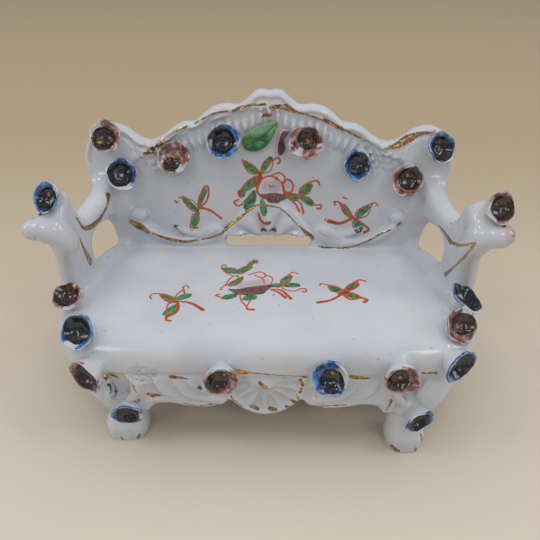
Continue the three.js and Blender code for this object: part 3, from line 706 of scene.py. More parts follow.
# The widest angle between the normals at each triangle's corners, in degrees.
def widestBend(normals, faces):
    cosine = np.min([(normals[faces[:, i]] * normals[faces[:, i - 1]]).sum(1) for i in range(3)], 0)
    return np.degrees(np.arccos(np.clip(cosine, -1, 1)))


# A smooth shaded piece from points in mm, held inside the solids' box, with a number for each point and
# layer that its finish reads.
def meshPiece(name, points, faces, normals=None, layers=None):
    mesh = bpy.data.meshes.new(name)
    placed = np.clip(toFrame(points), np.array(cadLow), np.array(cadHigh))
    mesh.from_pydata(placed.tolist(), [], faces.tolist())
    mesh.shade_smooth()
    for layer, value in (layers or {}).items():
        mesh.attributes.new(layer, "FLOAT", "POINT").data.foreach_set("value", np.asarray(value, np.float32))
    if normals is not None:
        mesh.normals_split_custom_set_from_vertices(normals.tolist())
    mesh.validate()
    piece = bpy.data.objects.new(name, mesh)
    bpy.context.scene.collection.objects.link(piece)
    return piece


# Painting: each stroke is a line in the plane of the face it lies on, with its half width

# A leaf's dab: narrow at its foot, widest past the middle, pointed at its tip, bowed a little sideways.
def leafDab(footU, footV, tipU, tipV, half):
    foot, along = np.array([footU, footV]), np.array([tipU - footU, tipV - footV])
    share = np.array([0, 0.25, 0.5, 0.75, 0.92, 1])
    wide = np.array([0.45, 0.85, 1, 0.95, 0.72, 0.35])
    bow = np.outer(np.sin(share * math.pi), [-along[1], along[0]]) * 0.06
    return np.column_stack([foot + np.outer(share, along) + bow, half * wide])


# A line drawn with the brush's tip: smooth through its points, from one half width to the other.
def brushLine(start, end, *points):
    p = np.array(points, float)
    if len(p) == 1:
        return np.array([[*p[0], start], [*p[0] + 0.01, end]])
    return smoothPath(np.column_stack([p, np.linspace(start, end, len(p))]), pieces=4)


# Distance from points in a plane to the edge of a stroke, negative under the paint, kept where it is less.
def nearStroke(nearest, u, v, stroke):
    reach = stroke[:, 2].max() + 1.3
    low, high = stroke[:, :2].min(0) - reach, stroke[:, :2].max(0) + reach
    i = np.nonzero((u > low[0]) & (u < high[0]) & (v > low[1]) & (v < high[1]))[0]
    p = np.stack([u[i], v[i]], 1)[:, None]
    a, b = stroke[None, :-1], stroke[None, 1:]
    way = (b - a)[..., :2]
    share = np.clip(((p - a[..., :2]) * way).sum(2) / ((way ** 2).sum(2) + 1e-9), 0, 1)
    foot = a + (b - a) * share[..., None]
    away = np.linalg.norm(p - foot[..., :2], axis=2) - foot[..., 2]
    if len(i):
        nearest[i] = np.minimum(nearest[i], away.min(1))


# The two sprigs and the spray on the seat, in x and y. A dab is given by its foot, its tip and its half
# width, and a line by its half width at both ends and its points, all in mm.
seatPaint = {
    "greenEnamel": [leafDab(*leaf) for leaf in (
        (-24.8, -12.2, -29.3, -10.0, 1.15), (-24.5, -12.1, -21.3, -10.0, 1.15),
        (-24.5, -14.6, -27.0, -18.3, 1.22),
        (-8.4, 1.3, -12.9, 3.1, 1.42), (-8.4, 0.8, -5.0, 4.3, 1.35), (-5.8, 4.6, -3.9, 7.2, 0.94),
        (-7.4, -1.5, -10.8, -5.5, 1.22), (-8.4, -9.4, -12.2, -11.2, 1.15), (-6.4, -11.6, -3.3, -10.7, 1.28),
        (0.9, -5.6, 3.9, -5.4, 0.94), (4.2, -4.5, 6.6, -0.6, 1.28), (4.4, -5.3, 8.9, -5.2, 1.15),
        (20.8, -7.7, 17.6, -5.5, 1.28), (22.5, -6.9, 25.4, -4.3, 1.28), (21.3, -8.7, 25.0, -10.3, 1.22))],
    "redEnamel": [brushLine(*line) for line in (
        (0.25, 0.25, (-31.7, -11.8), (-32.2, -10.8), (-31.4, -9.6), (-29, -9.8), (-25.2, -11.6)),
        (0.3, 0.5, (-29.5, -10.3), (-28, -12.1), (-26.5, -13.1), (-24.8, -13)),
        (0.22, 0.3, (-25.1, -11.8), (-25, -9.9), (-23.3, -7.5)),
        (0.25, 0.25, (-22.9, -9.4), (-23.3, -7.8), (-23.7, -6.5), (-22.8, -5.7), (-22, -7)),
        (0.32, 0.18, (-26.1, -13.3), (-26.8, -14.6), (-26.6, -18.2)),
        (0.45, 0.55, (-24.3, -13.5), (-23.8, -15.7), (-24.5, -17.9), (-26.3, -19.1)),
        (0.4, 0.32, (-26.3, -19.4), (-26.2, -20.6), (-24.9, -20.8)),
        (0.5, 0.5, (-26.3, -13.4), (-24.2, -13)),
        (0.28, 0.56, (-24.2, -13), (-22.2, -13.1), (-20, -14), (-17.1, -16.4)),
        (0.28, 0.22, (-12.4, 4.5), (-13.1, 5.2), (-13.8, 4), (-12.2, 0.9), (-10.2, -0.5), (-7.2, -1.7)),
        (0.22, 0.16, (-12.9, 3.1), (-10.9, 3.6), (-8.6, 2.6)),
        (0.2, 0.35, (-8.6, 0.8), (-8.3, 3.2), (-5.6, 5.2), (-4.3, 7.9), (-3.1, 7.7), (-3.4, 6.3)),
        (0.2, 0.2, (-5.2, 5.1), (-5.4, 3), (-7.7, 0.1)),
        (0.24, 0.24, (-8.6, -0.5), (-10.3, -1.3), (-11.9, -5.3)),
        (0.28, 0.22, (-7.2, -1.8), (-8.4, -3.8), (-12, -5.6), (-13.1, -7.1), (-12.6, -7.6)),
        (0.24, 0.28, (-5.5, -0.1), (-3.7, 1), (-2.2, 1.5), (-0.7, 0.2), (-1.2, -1.5), (-3.8, -0.4)),
        (0.3, 0.15, (-0.6, -0.4), (0.9, -0.9), (1.5, -2.4), (0.9, -4.5)),
        (0.28, 0.12, (-1.8, -1.4), (-1.1, -2.9), (-0.9, -4.7)),
        (0.14, 0.26, (3.6, -4.6), (3.9, -2.4), (6.3, 0.3), (7.2, 1.5), (8.8, 0.7)),
        (0.2, 0.22, (6.5, -0.1), (6.7, -2.2), (6, -3.6), (3.8, -5.3)),
        (0.22, 0.32, (3.8, -5.5), (4.8, -7.1), (7.7, -7.8), (9.2, -6.8), (10.8, -6.8), (10.7, -8.2),
            (9.8, -8)),
        (0.15, 0.2, (1.1, -4.2), (2.6, -4.3), (6, -4.3)),
        (0.3, 0.24, (-13.3, -9.6), (-14.2, -10.1), (-12.2, -11.2)),
        (0.1, 0.1, (-11.1, -11.7), (-8.4, -10.9)),
        (0.22, 0.24, (-7.5, -9.6), (-7.2, -12), (-5.5, -14.5), (-4.6, -12.2)),
        (0.26, 0.5, (-5.5, -14.5), (-5.2, -15.9), (-3.6, -16.1)),
        (0.24, 0.5, (0.8, -7.3), (2.9, -8.2), (5, -10.8)),
        (0.24, 0.5, (1.3, -7), (3.8, -7.4), (6.5, -11.2)),
        (0.3, 0.3, (1.7, -9.7)),
        (0.25, 0.3, (14.9, -5.1), (15.1, -4.2), (16.9, -4.7), (19.4, -5.5), (21.4, -7.3)),
        (0.22, 0.22, (17.3, -5.4), (17.8, -7.5), (20.1, -8.5)),
        (0.36, 0.34, (21.4, -7.9), (22.2, -6.1), (24.9, -3.3), (26.6, -2), (28.1, -2.9)),
        (0.24, 0.46, (25.8, -3), (25.7, -4.9), (21.7, -8.2)),
        (0.7, 0.8, (20.2, -9), (22.2, -8.1)),
        (0.3, 0.34, (21.4, -8.2), (24, -8.7), (25.7, -10.1)),
        (0.4, 0.38, (21.2, -9.5), (22.8, -11.2), (25.7, -10.6)),
        (0.4, 0.55, (25.8, -10.4), (27.4, -11.4), (26.5, -12.4)),
        (0.55, 0.36, (13.8, -12.8), (17.2, -11.8), (20.4, -9.3)))],
    "plumEnamel": [brushLine(*line) for line in (
        (0.4, 1.8, (-10.5, -7.4), (-8.4, -8.2), (-5.6, -8.3)), (1.9, 2.0, (-5.4, -8.1), (-2.2, -7.5)),
        (1.9, 0.6, (-2.2, -7.3), (1.1, -5.3)))],
    "pinkWash": [brushLine(1.8, 1.4, (-7.5, -5.6), (-3.5, -4.3), (-0.6, -3.6))],
}

# the same on the back, in x and z, and its gilding
backPaint = {
    "greenEnamel": [leafDab(*leaf) for leaf in (
        (-21.9, 46.8, -26.4, 51.1, 1.0), (-21.6, 48.0, -19.0, 53.5, 0.9), (-22.3, 46.2, -23.5, 41.8, 1.15),
        (26.0, 45.0, 22.9, 49.0, 1.1), (27.6, 45.0, 30.9, 48.4, 1.15), (27.0, 44.3, 28.6, 40.5, 1.25),
        (-3.0, 58.7, -7.4, 62.1, 1.05), (-2.2, 58.6, 0.8, 63.3, 1.05), (-4.1, 57.4, -7.0, 53.6, 1.15),
        (-4.5, 52.7, -7.0, 47.9, 1.5), (-2.2, 50.2, -1.4, 46.4, 1.1), (6.1, 51.7, 8.6, 50.7, 1.2),
        (9.8, 51.7, 12.9, 55.1, 1.15), (9.8, 51.2, 13.5, 49.0, 1.2), (-7.4, 54.3, -8.6, 51.4, 1.0))],
    "redEnamel": [brushLine(*line) for line in (
        (0.2, 0.24, (-27.8, 51), (-26.4, 50.5), (-25.3, 48.4), (-23.7, 46.7), (-21.9, 46.4)),
        (0.16, 0.18, (-27.6, 50.8), (-25.6, 50.6), (-23.5, 50), (-22.1, 48.5)),
        (0.32, 0.3, (-21.3, 47.7), (-19.3, 49.6), (-18.3, 52.7), (-18.7, 54.5), (-19.7, 54),
            (-20.8, 51.6), (-21.8, 48.3)),
        (0.2, 0.3, (-23.6, 45.7), (-24.2, 43.2), (-24.4, 41.2), (-22.2, 41.2)),
        (0.24, 0.16, (-21.5, 46.1), (-22.3, 42.2)),
        (0.42, 0.36, (-21.9, 47.5), (-19.6, 47.4), (-17.4, 46.4), (-14.7, 44.2)),
        (0.26, 0.4, (-28.9, 49.8), (-28.2, 49.3)),
        (0.3, 0.25, (20.5, 49), (20.2, 49.9), (21.6, 49.9), (23.2, 46.7), (26.2, 44.8)),
        (0.2, 0.22, (21.8, 49.8), (24.6, 47.7), (26.2, 45.1)),
        (0.25, 0.24, (26.7, 45.2), (27.5, 47.2), (30.8, 49.1), (32.8, 49.7), (33.7, 48.8)),
        (0.26, 0.2, (27.5, 44.5), (30.6, 45.7), (31.9, 49.5)),
        (0.2, 0.22, (26.1, 44), (26.5, 42), (27.9, 40.5)),
        (0.24, 0.5, (27.9, 44.1), (29.6, 42.8), (31.5, 41), (30.2, 40.1)),
        (0.65, 0.42, (18.8, 43.7), (22.3, 43), (26.6, 45)),
        (0.3, 0.2, (22.9, 51.4), (24, 50.9)),
        (0.35, 0.35, (17.7, 44.1)),
        (0.2, 0.25, (-7.9, 62.7), (-7.3, 60.6), (-5.6, 58.6), (-2.6, 58.4)),
        (0.15, 0.18, (-7.8, 62.5), (-4.6, 61), (-2.6, 58.7)),
        (0.24, 0.36, (-2.2, 58.7), (-1.8, 61), (1.2, 62.5), (2.7, 63.3), (3.4, 62.3), (2.7, 61.6)),
        (0.2, 0.2, (-2.1, 58.5), (0.4, 59.3), (1.3, 62.2)),
        (0.6, 0.8, (-2.7, 58.6), (-2.6, 57.2)), (0.85, 0.4, (-2.8, 57), (-3.4, 55.8), (-4.4, 54.6)),
        (0.24, 0.28, (-3.4, 57.7), (-6, 56.4), (-9, 52.8)),
        (0.55, 0.6, (-9, 52.8), (-8.9, 52)),
        (0.32, 0.3, (-9.3, 50.4), (-10.6, 49.6), (-9.6, 48.4), (-8, 49)),
        (0.24, 0.2, (-7.9, 49.6), (-5, 52.3)),
        (0.3, 0.24, (-3.5, 52.6), (-3.2, 54.6), (-1.6, 57.2), (0.9, 57.8), (2.5, 56.6)),
        (0.32, 0.4, (-3.7, 55.1), (-3.3, 52.6), (-1.5, 50.8)),
        (0.24, 0.24, (0.1, 55), (0.7, 54.3)),
        (0.25, 0.28, (0.4, 57.7), (3, 58.8), (4.9, 57.4), (4.2, 55.7), (2.2, 57.5)),
        (0.32, 0.28, (4.4, 55.6), (5.8, 56.8), (7.4, 55.2), (6.9, 53), (5.2, 52.9), (4.4, 55)),
        (0.38, 0.38, (4.1, 55.8), (4.8, 52.4)),
        (0.36, 0.24, (4.7, 52.2), (8.2, 52.2), (9.6, 51.4)),
        (0.24, 0.3, (9.2, 52), (9.6, 54), (12.7, 56.1), (14.8, 56.4), (15.4, 55.2)),
        (0.2, 0.2, (9.8, 51.6), (12.4, 52.8), (13.1, 55.6)),
        (0.2, 0.32, (10.2, 51.4), (12.6, 50.6), (14.4, 48.8), (16.2, 49), (16, 47.7), (15, 47.8)),
        (0.24, 0.36, (5.6, 51.2), (8.2, 49.2), (9.5, 46.9)),
        (0.2, 0.36, (7.9, 50.8), (9.9, 49.3), (10.8, 46.2)),
        (0.32, 0.6, (-3, 46.7), (-2.6, 44.8), (-1.7, 43.7), (0.3, 44.1)))],
    "plumEnamel": [brushLine(*line) for line in (
        (0.45, 1.2, (-1.9, 51.8), (0.4, 51.2)), (1.4, 1.5, (0.6, 51.1), (2.6, 51)),
        (1.4, 0.8, (2.8, 51.1), (5, 51.3)))],
    "pinkWash": [brushLine(1.4, 2.2, (-0.9, 54.6), (1.7, 54.6)), brushLine(0.8, 0.9, (5.4, 54.6), (5.8, 55))],
    "gilding": [brushLine(*line) for line in (
        (0.7, 1.0, (-36.6, 64.5), (-34.5, 65.4)), (0.8, 1.1, (-32.6, 66.9), (-31.9, 67.5)),
        (0.3, 0.38, (-30.9, 68.5), (-27.5, 71), (-23.6, 72.6)),
        (0.25, 0.4, (-21.4, 73.3), (-16, 76.2), (-11.9, 77)),
        (0.5, 0.4, (-10.3, 77), (-6, 78.5), (-1.2, 78.9)),
        (0.36, 0.7, (-2.1, 75.3), (-0.8, 75.7)), (0.7, 0.36, (-0.8, 75.7), (0.6, 75.9)),
        (0.5, 0.9, (0.2, 78), (2.4, 78.3), (5, 78.2)), (1.15, 0.5, (5, 78), (7, 76.9), (9, 76.2)),
        (0.36, 0.45, (8.6, 76.3), (14.9, 75)), (0.6, 0.9, (15.2, 74.9), (18.6, 73.2), (20.6, 72.3)),
        (0.7, 0.2, (20.8, 72.2), (24.1, 70.7), (28.7, 68.4)),
        (0.3, 1.3, (33.8, 66.9), (37.4, 67.6), (40.4, 69.2)),
        (1.3, 0.35, (40.4, 69.2), (43, 70.8), (47.9, 71.8)),
        (0.9, 1.5, (-42.6, 43.6), (-40, 42.3)), (1.4, 0.7, (-39.8, 42.1), (-37.4, 40.6)),
        (0.3, 0.6, (-36.1, 40.4), (-33, 39.1), (-29, 38)),
        (0.55, 0.32, (-29, 38), (-25.5, 37.7), (-21.9, 38.2)),
        (0.36, 0.6, (-20.7, 38.4), (-17.5, 39.2), (-14, 40.5)),
        (0.6, 0.34, (-14, 40.5), (-9.4, 44.6), (-6.2, 47.5)),
        (0.45, 0.25, (-6.2, 47.5), (-3.8, 48.8), (-0.6, 49.2), (3.5, 48.5)),
        (0.34, 0.22, (3.5, 48.4), (6, 46.4), (8.8, 43.4)),
        (0.3, 1.1, (9.6, 42.6), (11.9, 40.4), (13.4, 38.8)),
        (0.24, 0.55, (15.8, 36.2), (18.7, 35.8), (23.1, 35.8)),
        (0.5, 0.3, (23.1, 35.8), (28.5, 37.3), (37.8, 42.2)),
        (0.6, 0.7, (39.9, 43.7), (40.6, 44.6)),
        (0.6, 0.65, (-1.8, 41.2), (-0.8, 41.5)), (0.6, 0.7, (0.6, 41.6), (1.9, 41.2)))],
}

# worn gilding on the front, in x and z, and inside the arms, in y and z
frontPaint = {
    "gilding": [brushLine(*line) for line in (
        (0.6, 0.4, (-41.8, 24.1), (-40.3, 24.3), (-38.6, 23.2)),
        (0.6, 0.2, (-24.6, 25.3), (-22.6, 25.1), (-20.1, 25)),
        (0.7, 1.1, (-8.4, 28), (-6.9, 27.8)), (1.0, 0.4, (-6.4, 27.8), (-3.8, 27.7)),
        (0.35, 0.25, (-3.6, 27.7), (1.5, 27.2), (10.2, 25.8)),
        (0.85, 0.3, (21.9, 26.1), (24.3, 25.6), (26.8, 25.4)), (0.45, 0.6, (39.9, 27.9), (43.4, 27.5)),
        (0.55, 0.65, (-1.6, 24.4), (0, 23.2)), (0.55, 0.6, (8.8, 24.9), (9.5, 23.2)),
        (0.4, 0.45, (9.3, 22), (8.9, 20.4)),
        (0.4, 0.45, (8.1, 19.1), (8.9, 18.1)), (0.6, 0.7, (6.8, 17.4), (7.8, 16.9)),
        (0.7, 0.5, (-3.8, 14.8), (-2.2, 13.7)), (0.65, 0.6, (1, 13.8), (2.7, 13.7)),
        (0.5, 0.5, (5.5, 15.1), (6.3, 15.2)),
        (0.22, 0.25, (-9.3, 19.2), (-8.1, 17), (-6.4, 15)),
        (0.2, 0.3, (10.4, 16.6), (13.6, 15.6), (21.4, 16.4)),
        (0.45, 0.2, (-34.4, 22.8), (-33.7, 20.8)), (0.34, 0.4, (-33.8, 17.6), (-33.6, 16.7)),
        (0.6, 0.7, (-31, 19.1), (-29.8, 18.9)), (0.5, 0.2, (-29.6, 19), (-27.4, 18.8)),
        (0.2, 0.3, (-22.2, 16.6), (-17.2, 15.4), (-12, 16.4)),
        (0.45, 0.4, (33.2, 17.9), (32.9, 15.9)), (0.45, 0.35, (32.4, 15.3), (32.2, 14.3)),
        (0.5, 0.5, (-40.7, 1.6), (-40.5, 0.4)), (0.5, 0.55, (-35.6, 2.2), (-36.1, 0.9)),
        (0.75, 0.8, (35, 1.9), (36.6, 0.7)), (0.45, 0.5, (41.3, 2), (41.8, 0.5)),
        (0.3, 0.4, (42.4, 6.2), (43.4, 3)))],
}
leftArmPaint = {
    "gilding": [brushLine(*line) for line in (
        (0.85, 0.5, (15.2, 54.2), (12.5, 51.8)), (0.6, 0.95, (12, 51.6), (8, 50.5), (3, 50.6)),
        (0.95, 0.3, (3, 50.6), (-1.6, 52.7), (-4.4, 57.5)), (0.2, 0.9, (-5, 52.1), (-4.4, 49), (-3.2, 45.4)),
        (0.9, 1.2, (-3.2, 45.4), (-1.8, 41.9)))],
}
rightArmPaint = {
    "gilding": [brushLine(*line) for line in (
        (0.2, 0.8, (6.4, 50.1), (3.2, 50), (0.5, 49.8)),
        (0.8, 0.9, (0.4, 49.8), (-1.9, 49.6)), (0.6, 0.3, (-2, 49.6), (-6.8, 51.6), (-12, 54.9), (-14, 56.7)),
        (0.35, 0.3, (-14.1, 56.8), (-13.5, 54.9), (-11.7, 51.2), (-8.3, 46.3)),
        (0.32, 0.8, (-8.3, 46.3), (-5.5, 42.4), (-2.9, 39.4)))],
}
# the painted end of the right arm's roll
pinkBall = {"centre": (60.8, -13.4, 59.0), "radius": 2.7}
# drops of dark glaze that ran from three flowers: x, y, z and radius
darkDrops = ((58.5, -12.1, 60.7, 0.8), (-56.5, -10.8, 62.1, 0.8), (-17.2, -30.5, 21.8, 0.7))


# Distance in mm of each point to each enamel and to the gilding, as its face of the settee is painted.
def paintLayers(points, normals):
    x, y, z = points.T
    faces = (
        (seatPaint, x, y, (z > 33) & (normals[:, 2] > 0.35) & (y < 14)),
        (backPaint, x, z, (y > 13) & (z > 34.5) & (normals[:, 1] < -0.1)),
        (frontPaint, x, z, (y < -20) & (z < 34) & (normals[:, 1] < -0.1)),
        (leftArmPaint, y, z, (x < -44) & (z > 38) & (normals[:, 0] > -0.1)),
        (rightArmPaint, y, z, (x > 44) & (x < 56) & (z > 38) & (normals[:, 0] < 0.1)))
    names = ("greenEnamel", "redEnamel", "plumEnamel", "pinkWash", "gilding")
    layers = {name: np.full(len(points), 9.0) for name in names}
    for picture, u, v, ready in faces:
        at = np.nonzero(ready)[0]
        for name, strokes in picture.items():
            nearest = layers[name][at]
            for stroke in strokes:
                nearStroke(nearest, u[at], v[at], stroke)
            layers[name][at] = nearest
    ball = np.linalg.norm(points - pinkBall["centre"], axis=1) - pinkBall["radius"]
    layers["pinkWash"] = np.minimum(layers["pinkWash"], ball)
    drops = [np.linalg.norm(points - drop[:3], axis=1) - drop[3] for drop in darkDrops]
    layers["darkDrop"] = np.min(drops, 0)
    return layers


# Splits the marked triangles, brings the new points onto the surface and works out their normals.
def refine(points, faces, normals, marked):
    old = len(points)
    points, faces = split(points, faces, marked)
    points[old:] = settle(setteeField, points[old:], 2)
    return points, faces, np.vstack([normals, slope(setteeField, points[old:])[0]])


# The net's cell and the room around the solids' box in mm. Then, from coarse to fine, the length past which
# a triangle is split where its corners' normals differ by more degrees, and the length past which it is
# split where the edge of a stroke is nearer than that share of its length.
net = {
    "cell": 1.35, "room": 2.5,
    "bends": ((0.9, 32), (0.6, 46)),
    "strokes": ((0.9, 0.5), (0.6, 0.36), (0.42, 0.18)),
}


# The settee's surface out of its field, with small triangles where it bends and along the paint's edges.
def makeSettee():
    low, high = (np.array(corner) * 1000 + middle for corner in (cadLow, cadHigh))
    points, quads = surfaceNet(setteeField, low - net["room"], high + net["room"], net["cell"])
    points = settle(setteeField, points)
    normals = slope(setteeField, points)[0]
    faces = triangles(points, quads)
    print("stage: settee net,", len(faces), "triangles")
    for longest, widest in net["bends"]:
        coarse = (longestEdge(points, faces) > longest) & (widestBend(normals, faces) > widest)
        points, faces, normals = refine(points, faces, normals, coarse)
    for longest, reach in net["strokes"]:
        layers = paintLayers(points, normals)
        edge = np.min([abs(layers[name]) for name in layers if name != "pinkWash"], 0)
        length = longestEdge(points, faces)
        coarse = (length > longest) & (edge[faces].min(1) < reach * length)
        points, faces, normals = refine(points, faces, normals, coarse)
    layers = paintLayers(points, normals)
    stems = [np.array(centre) - 4 * np.array(way) for centre, way, *_ in flowers.values()]
    layers["nearFlower"] = np.min([np.linalg.norm(points - stem, axis=1) for stem in stems], 0)
    print("stage: settee refined and painted,", len(faces), "triangles")
    piece = meshPiece("porcelain_settee", points, faces, normals, layers)
    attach(piece, "root")
    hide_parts("settee")
    return piece


settee = makeSettee()

# Applied flowers, leaf and broken petal

# Closed surface over a grid of rings: two triangles for each cell, and a fan to a pole at each end.
def closedRings(rings):
    rows, columns = rings.shape[:2]
    points = np.vstack([rings.reshape(-1, 3), rings[0].mean(0), rings[-1].mean(0)])
    r, c = np.meshgrid(np.arange(rows - 1), np.arange(columns), indexing="ij")
    a, b = (r * columns + c).ravel(), (r * columns + (c + 1) % columns).ravel()
    faces = [np.stack([a, b, b + columns], 1), np.stack([a, b + columns, a + columns], 1)]
    here = np.arange(columns)
    after = (here + 1) % columns
    last = (rows - 1) * columns
    faces += [np.stack([after, here, np.full(columns, rows * columns)], 1),
              np.stack([last + here, last + after, np.full(columns, rows * columns + 1)], 1)]
    return points, np.vstack(faces)


# The values of a layer over a grid of rings, and for each pole the mean of the ring next to it.
def overRings(values, grid):
    values = np.broadcast_to(values, grid.shape)
    return np.append(values.ravel(), [values[0].mean(), values[-1].mean()])


# radius and height of the bloom's profile: up the stem's outside, over the lip and down into the cup
bloomProfile = [[0.6, -6.2], [2.1, -6.0], [2.4, -5.2], [2.8, -4.2], [3.35, -3.2], [3.9, -2.1], [4.35, -1.05],
                [4.62, -0.3], [4.55, 0.0], [4.25, -0.02], [3.7, -0.5], [3.1, -1.1], [2.6, -1.75], [2.0, -2.2],
                [1.2, -2.5], [0.4, -2.6]]
bloom = {
    "around": 72, "rim": 4.55, "wave": 0.028, "droop": 0.12, "folds": 0.07, "ridge": 0.16, "ridgeWidth": 0.28,
    "dome": 0.8, "domeHeight": 0.55,
    "lobes": ((5, 1.5, 0), (3, 0.8, 1), (7, 0.5, 2), (2, 1.4, 6)),  # waves round the rim, height and phase
}


# One flower: the profile turned round its axis, with the radius swollen in lobes towards the rim, a
# wavering lip, pinched folds inside, a low ridge round the heart and a small dome off the middle of the cup.
def makeFlower(name, centre, way, width, glaze, wiped, heart, knob, seed):
    dice = np.random.default_rng(seed)
    size = width / drawnWidth
    profile = smoothPath(bloomProfile, pieces=3)
    length = np.concatenate([[0], np.cumsum(np.linalg.norm(np.diff(profile, axis=0), axis=1))])
    lip = length[np.argmax(profile[:, 1])]
    # 0 at the foot of the stem, 1 at the lip and 2 in the middle of the cup
    place = np.where(length < lip, length / lip, 1 + (length - lip) / (length[-1] - lip))[:, None]
    turn = np.linspace(0, 2 * math.pi, bloom["around"], endpoint=False)[None, :]
    phase = dice.uniform(0, 2 * math.pi, 7)
    lobes = sum(high * np.cos(count * turn + phase[which]) for count, high, which in bloom["lobes"])
    grown = ramp(profile[:, :1], 1.8, 4.4)
    radius = profile[:, :1] * (1 + bloom["wave"] * lobes * grown)
    u, v = radius * np.cos(turn), radius * np.sin(turn)

    def awayFrom(out, degrees):
        at = math.radians(degrees)
        return np.hypot(u - out * math.cos(at), v - out * math.sin(at))

    inner = ramp(place, 1.05, 1.3)
    folds = bloom["folds"] * np.cos(5 * turn + phase[3] + 3 * place) * inner * (1 - ramp(place, 1.6, 1.9))
    share, leans = heart
    heartEdge = awayFrom(0.75 * (1 - share) * bloom["rim"], leans) - share * bloom["rim"]
    ridge = bloom["ridge"] * np.exp(-(heartEdge / bloom["ridgeWidth"]) ** 2) * inner
    droop = bloom["droop"] * (1 + np.cos(4 * turn + phase[5])) * grown
    out, at, gilt = knob
    away = awayFrom(out, at)
    dome = inner * np.sqrt(np.clip(1 - (away / bloom["dome"]) ** 2, 0, 1))
    dome = bloom["domeHeight"] * dome * (1 + 0.15 * np.cos(9 * turn + phase[4]))
    height = profile[:, 1:] + folds + ridge - droop + dome
    way = np.array(way) / np.linalg.norm(way)
    right = np.cross([0, 0, 1.0], way)
    right /= np.linalg.norm(right)
    up = np.cross(way, right)
    shape = np.array(centre) + size * (u[..., None] * right + v[..., None] * up + height[..., None] * way)
    points, faces = closedRings(shape)
    wipedMiddle, wipedHalf = (wiped[0] + wiped[1]) / 2, (wiped[1] - wiped[0]) / 2
    off = abs((np.degrees(turn) - wipedMiddle + 180) % 360 - 180) - wipedHalf
    waver = 0.5 + 0.25 * (np.cos(3 * turn + phase[1]) + np.cos(7 * turn + phase[2]))
    layers = {
        "place": place,
        "wiped": np.clip(off / 40, -1, 1),
        "gilt": np.where(place > 1, away - bloom["dome"] * gilt, 2) if gilt else 2,
        "heart": heartEdge + 20 * np.maximum(1 - place, 0),
        "waver": waver,
    }
    layers = {layer: overRings(value, u) for layer, value in layers.items()}
    piece = meshPiece("bloom_" + name, points, faces, layers=layers)
    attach(piece, "root")
    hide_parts("flower_" + name)
    return piece


blooms = {"blue": [], "pink": []}
for seed, (name, flower) in enumerate(flowers.items()):
    blooms[flower[3]].append(makeFlower(name, *flower, seed=seed + 40))
print("stage:", len(flowers), "flowers")

leaf = {
    "foot": (-7.6, 66.7), "tip": (2.4, 74.0), "half": 3.2, "thick": 0.55, "proud": 0.75, "tipRise": 0.9,
    "curl": 0.7, "bow": 0.5, "vein": 0.22, "veinWidth": 0.3, "twigs": 9, "twigDepth": 0.05,
}


# Leaf on the back: along its vein and round its lens-shaped section. The half width is a power of the way
# from the foot times a power of the way to the tip, the sides curl up and a groove follows the vein.
def makeLeaf():
    foot, tip = np.array(leaf["foot"]), np.array(leaf["tip"])
    along = (tip - foot) / np.linalg.norm(tip - foot)
    across = np.array([-along[1], along[0]])
    share = np.linspace(0.004, 0.996, 64)[:, None]
    around = np.linspace(0, 2 * math.pi, 48, endpoint=False)[None, :]
    side, upper = np.cos(around), np.sin(around)
    half = leaf["half"] * share ** 0.55 * (1 - share) ** 0.9 / 0.382  # 0.382 is the powers' greatest product
    bend = -leaf["bow"] * np.sin(math.pi * share)
    x = foot[0] + along[0] * share * np.linalg.norm(tip - foot) + across[0] * (half * side + bend)
    z = foot[1] + along[1] * share * np.linalg.norm(tip - foot) + across[1] * (half * side + bend)
    vein = np.exp(-(side * half / leaf["veinWidth"]) ** 2)
    twigs = np.cos((share * leaf["twigs"] - abs(side) * half * 0.55) * 2 * math.pi)
    twigs = twigs * ramp(abs(side), 0.06, 0.3)
    proud = leaf["proud"] + leaf["tipRise"] * share ** 2 + leaf["curl"] * side ** 2 * (half / leaf["half"])
    proud = proud + leaf["thick"] * upper * np.sin(math.pi * share) ** 0.5
    proud = proud - (upper > 0) * (leaf["vein"] * vein + leaf["twigDepth"] * twigs) * upper
    y = backFace(z) + back["recess"] - proud
    points, faces = closedRings(np.stack([x, y, z], 2))
    layers = {"place": overRings(share, x), "side": overRings(side, x), "vein": overRings(vein, x)}
    piece = meshPiece("green_leaf", points, faces, layers=layers)
    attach(piece, "root")
    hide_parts("leaf")
    return piece


stub = {"path": [[3.3, 64.6, 0.5], [3.4, 65.6, 1.15], [3.5, 66.9, 1.3], [3.4, 68.2, 1.0], [3.6, 69.4, 0.8],
                 [4.1, 70.5, 1.2], [4.5, 71.4, 1.15], [4.6, 72.0, 0.6]], "proud": 1.25, "depth": 0.85,
        "fold": 0.45, "foldWidth": 0.35}


# What is left of a broken flower: a curled petal, narrow at its waist, round its path in a squeezed ring
# whose front is folded in along the middle.
def makeStub():
    path = smoothPath(stub["path"], pieces=8)
    around = np.linspace(0, 2 * math.pi, 40, endpoint=False)[None, :]
    side, front = np.cos(around), np.sin(around)
    wide = path[:, 2:3]
    x = path[:, :1] + wide * side
    z = path[:, 1:2] + 0 * side
    fold = stub["fold"] * np.exp(-(side / stub["foldWidth"]) ** 2) * (front > 0) * front
    y = backFace(z) + back["recess"] - stub["proud"] - stub["depth"] * wide / 1.2 * (front - fold)
    points, faces = closedRings(np.stack([x, y, z], 2))
    share = np.linspace(0, 1, len(path))[:, None]
    layers = {"place": overRings(share, x), "side": overRings(side, x)}
    piece = meshPiece("petal_stub", points, faces[:, ::-1], layers=layers)
    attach(piece, "root")
    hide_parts("broken_petal")
    return piece


greenLeaf = makeLeaf()
petalStub = makeStub()
print("stage: leaf and petal stub")

# Finishes

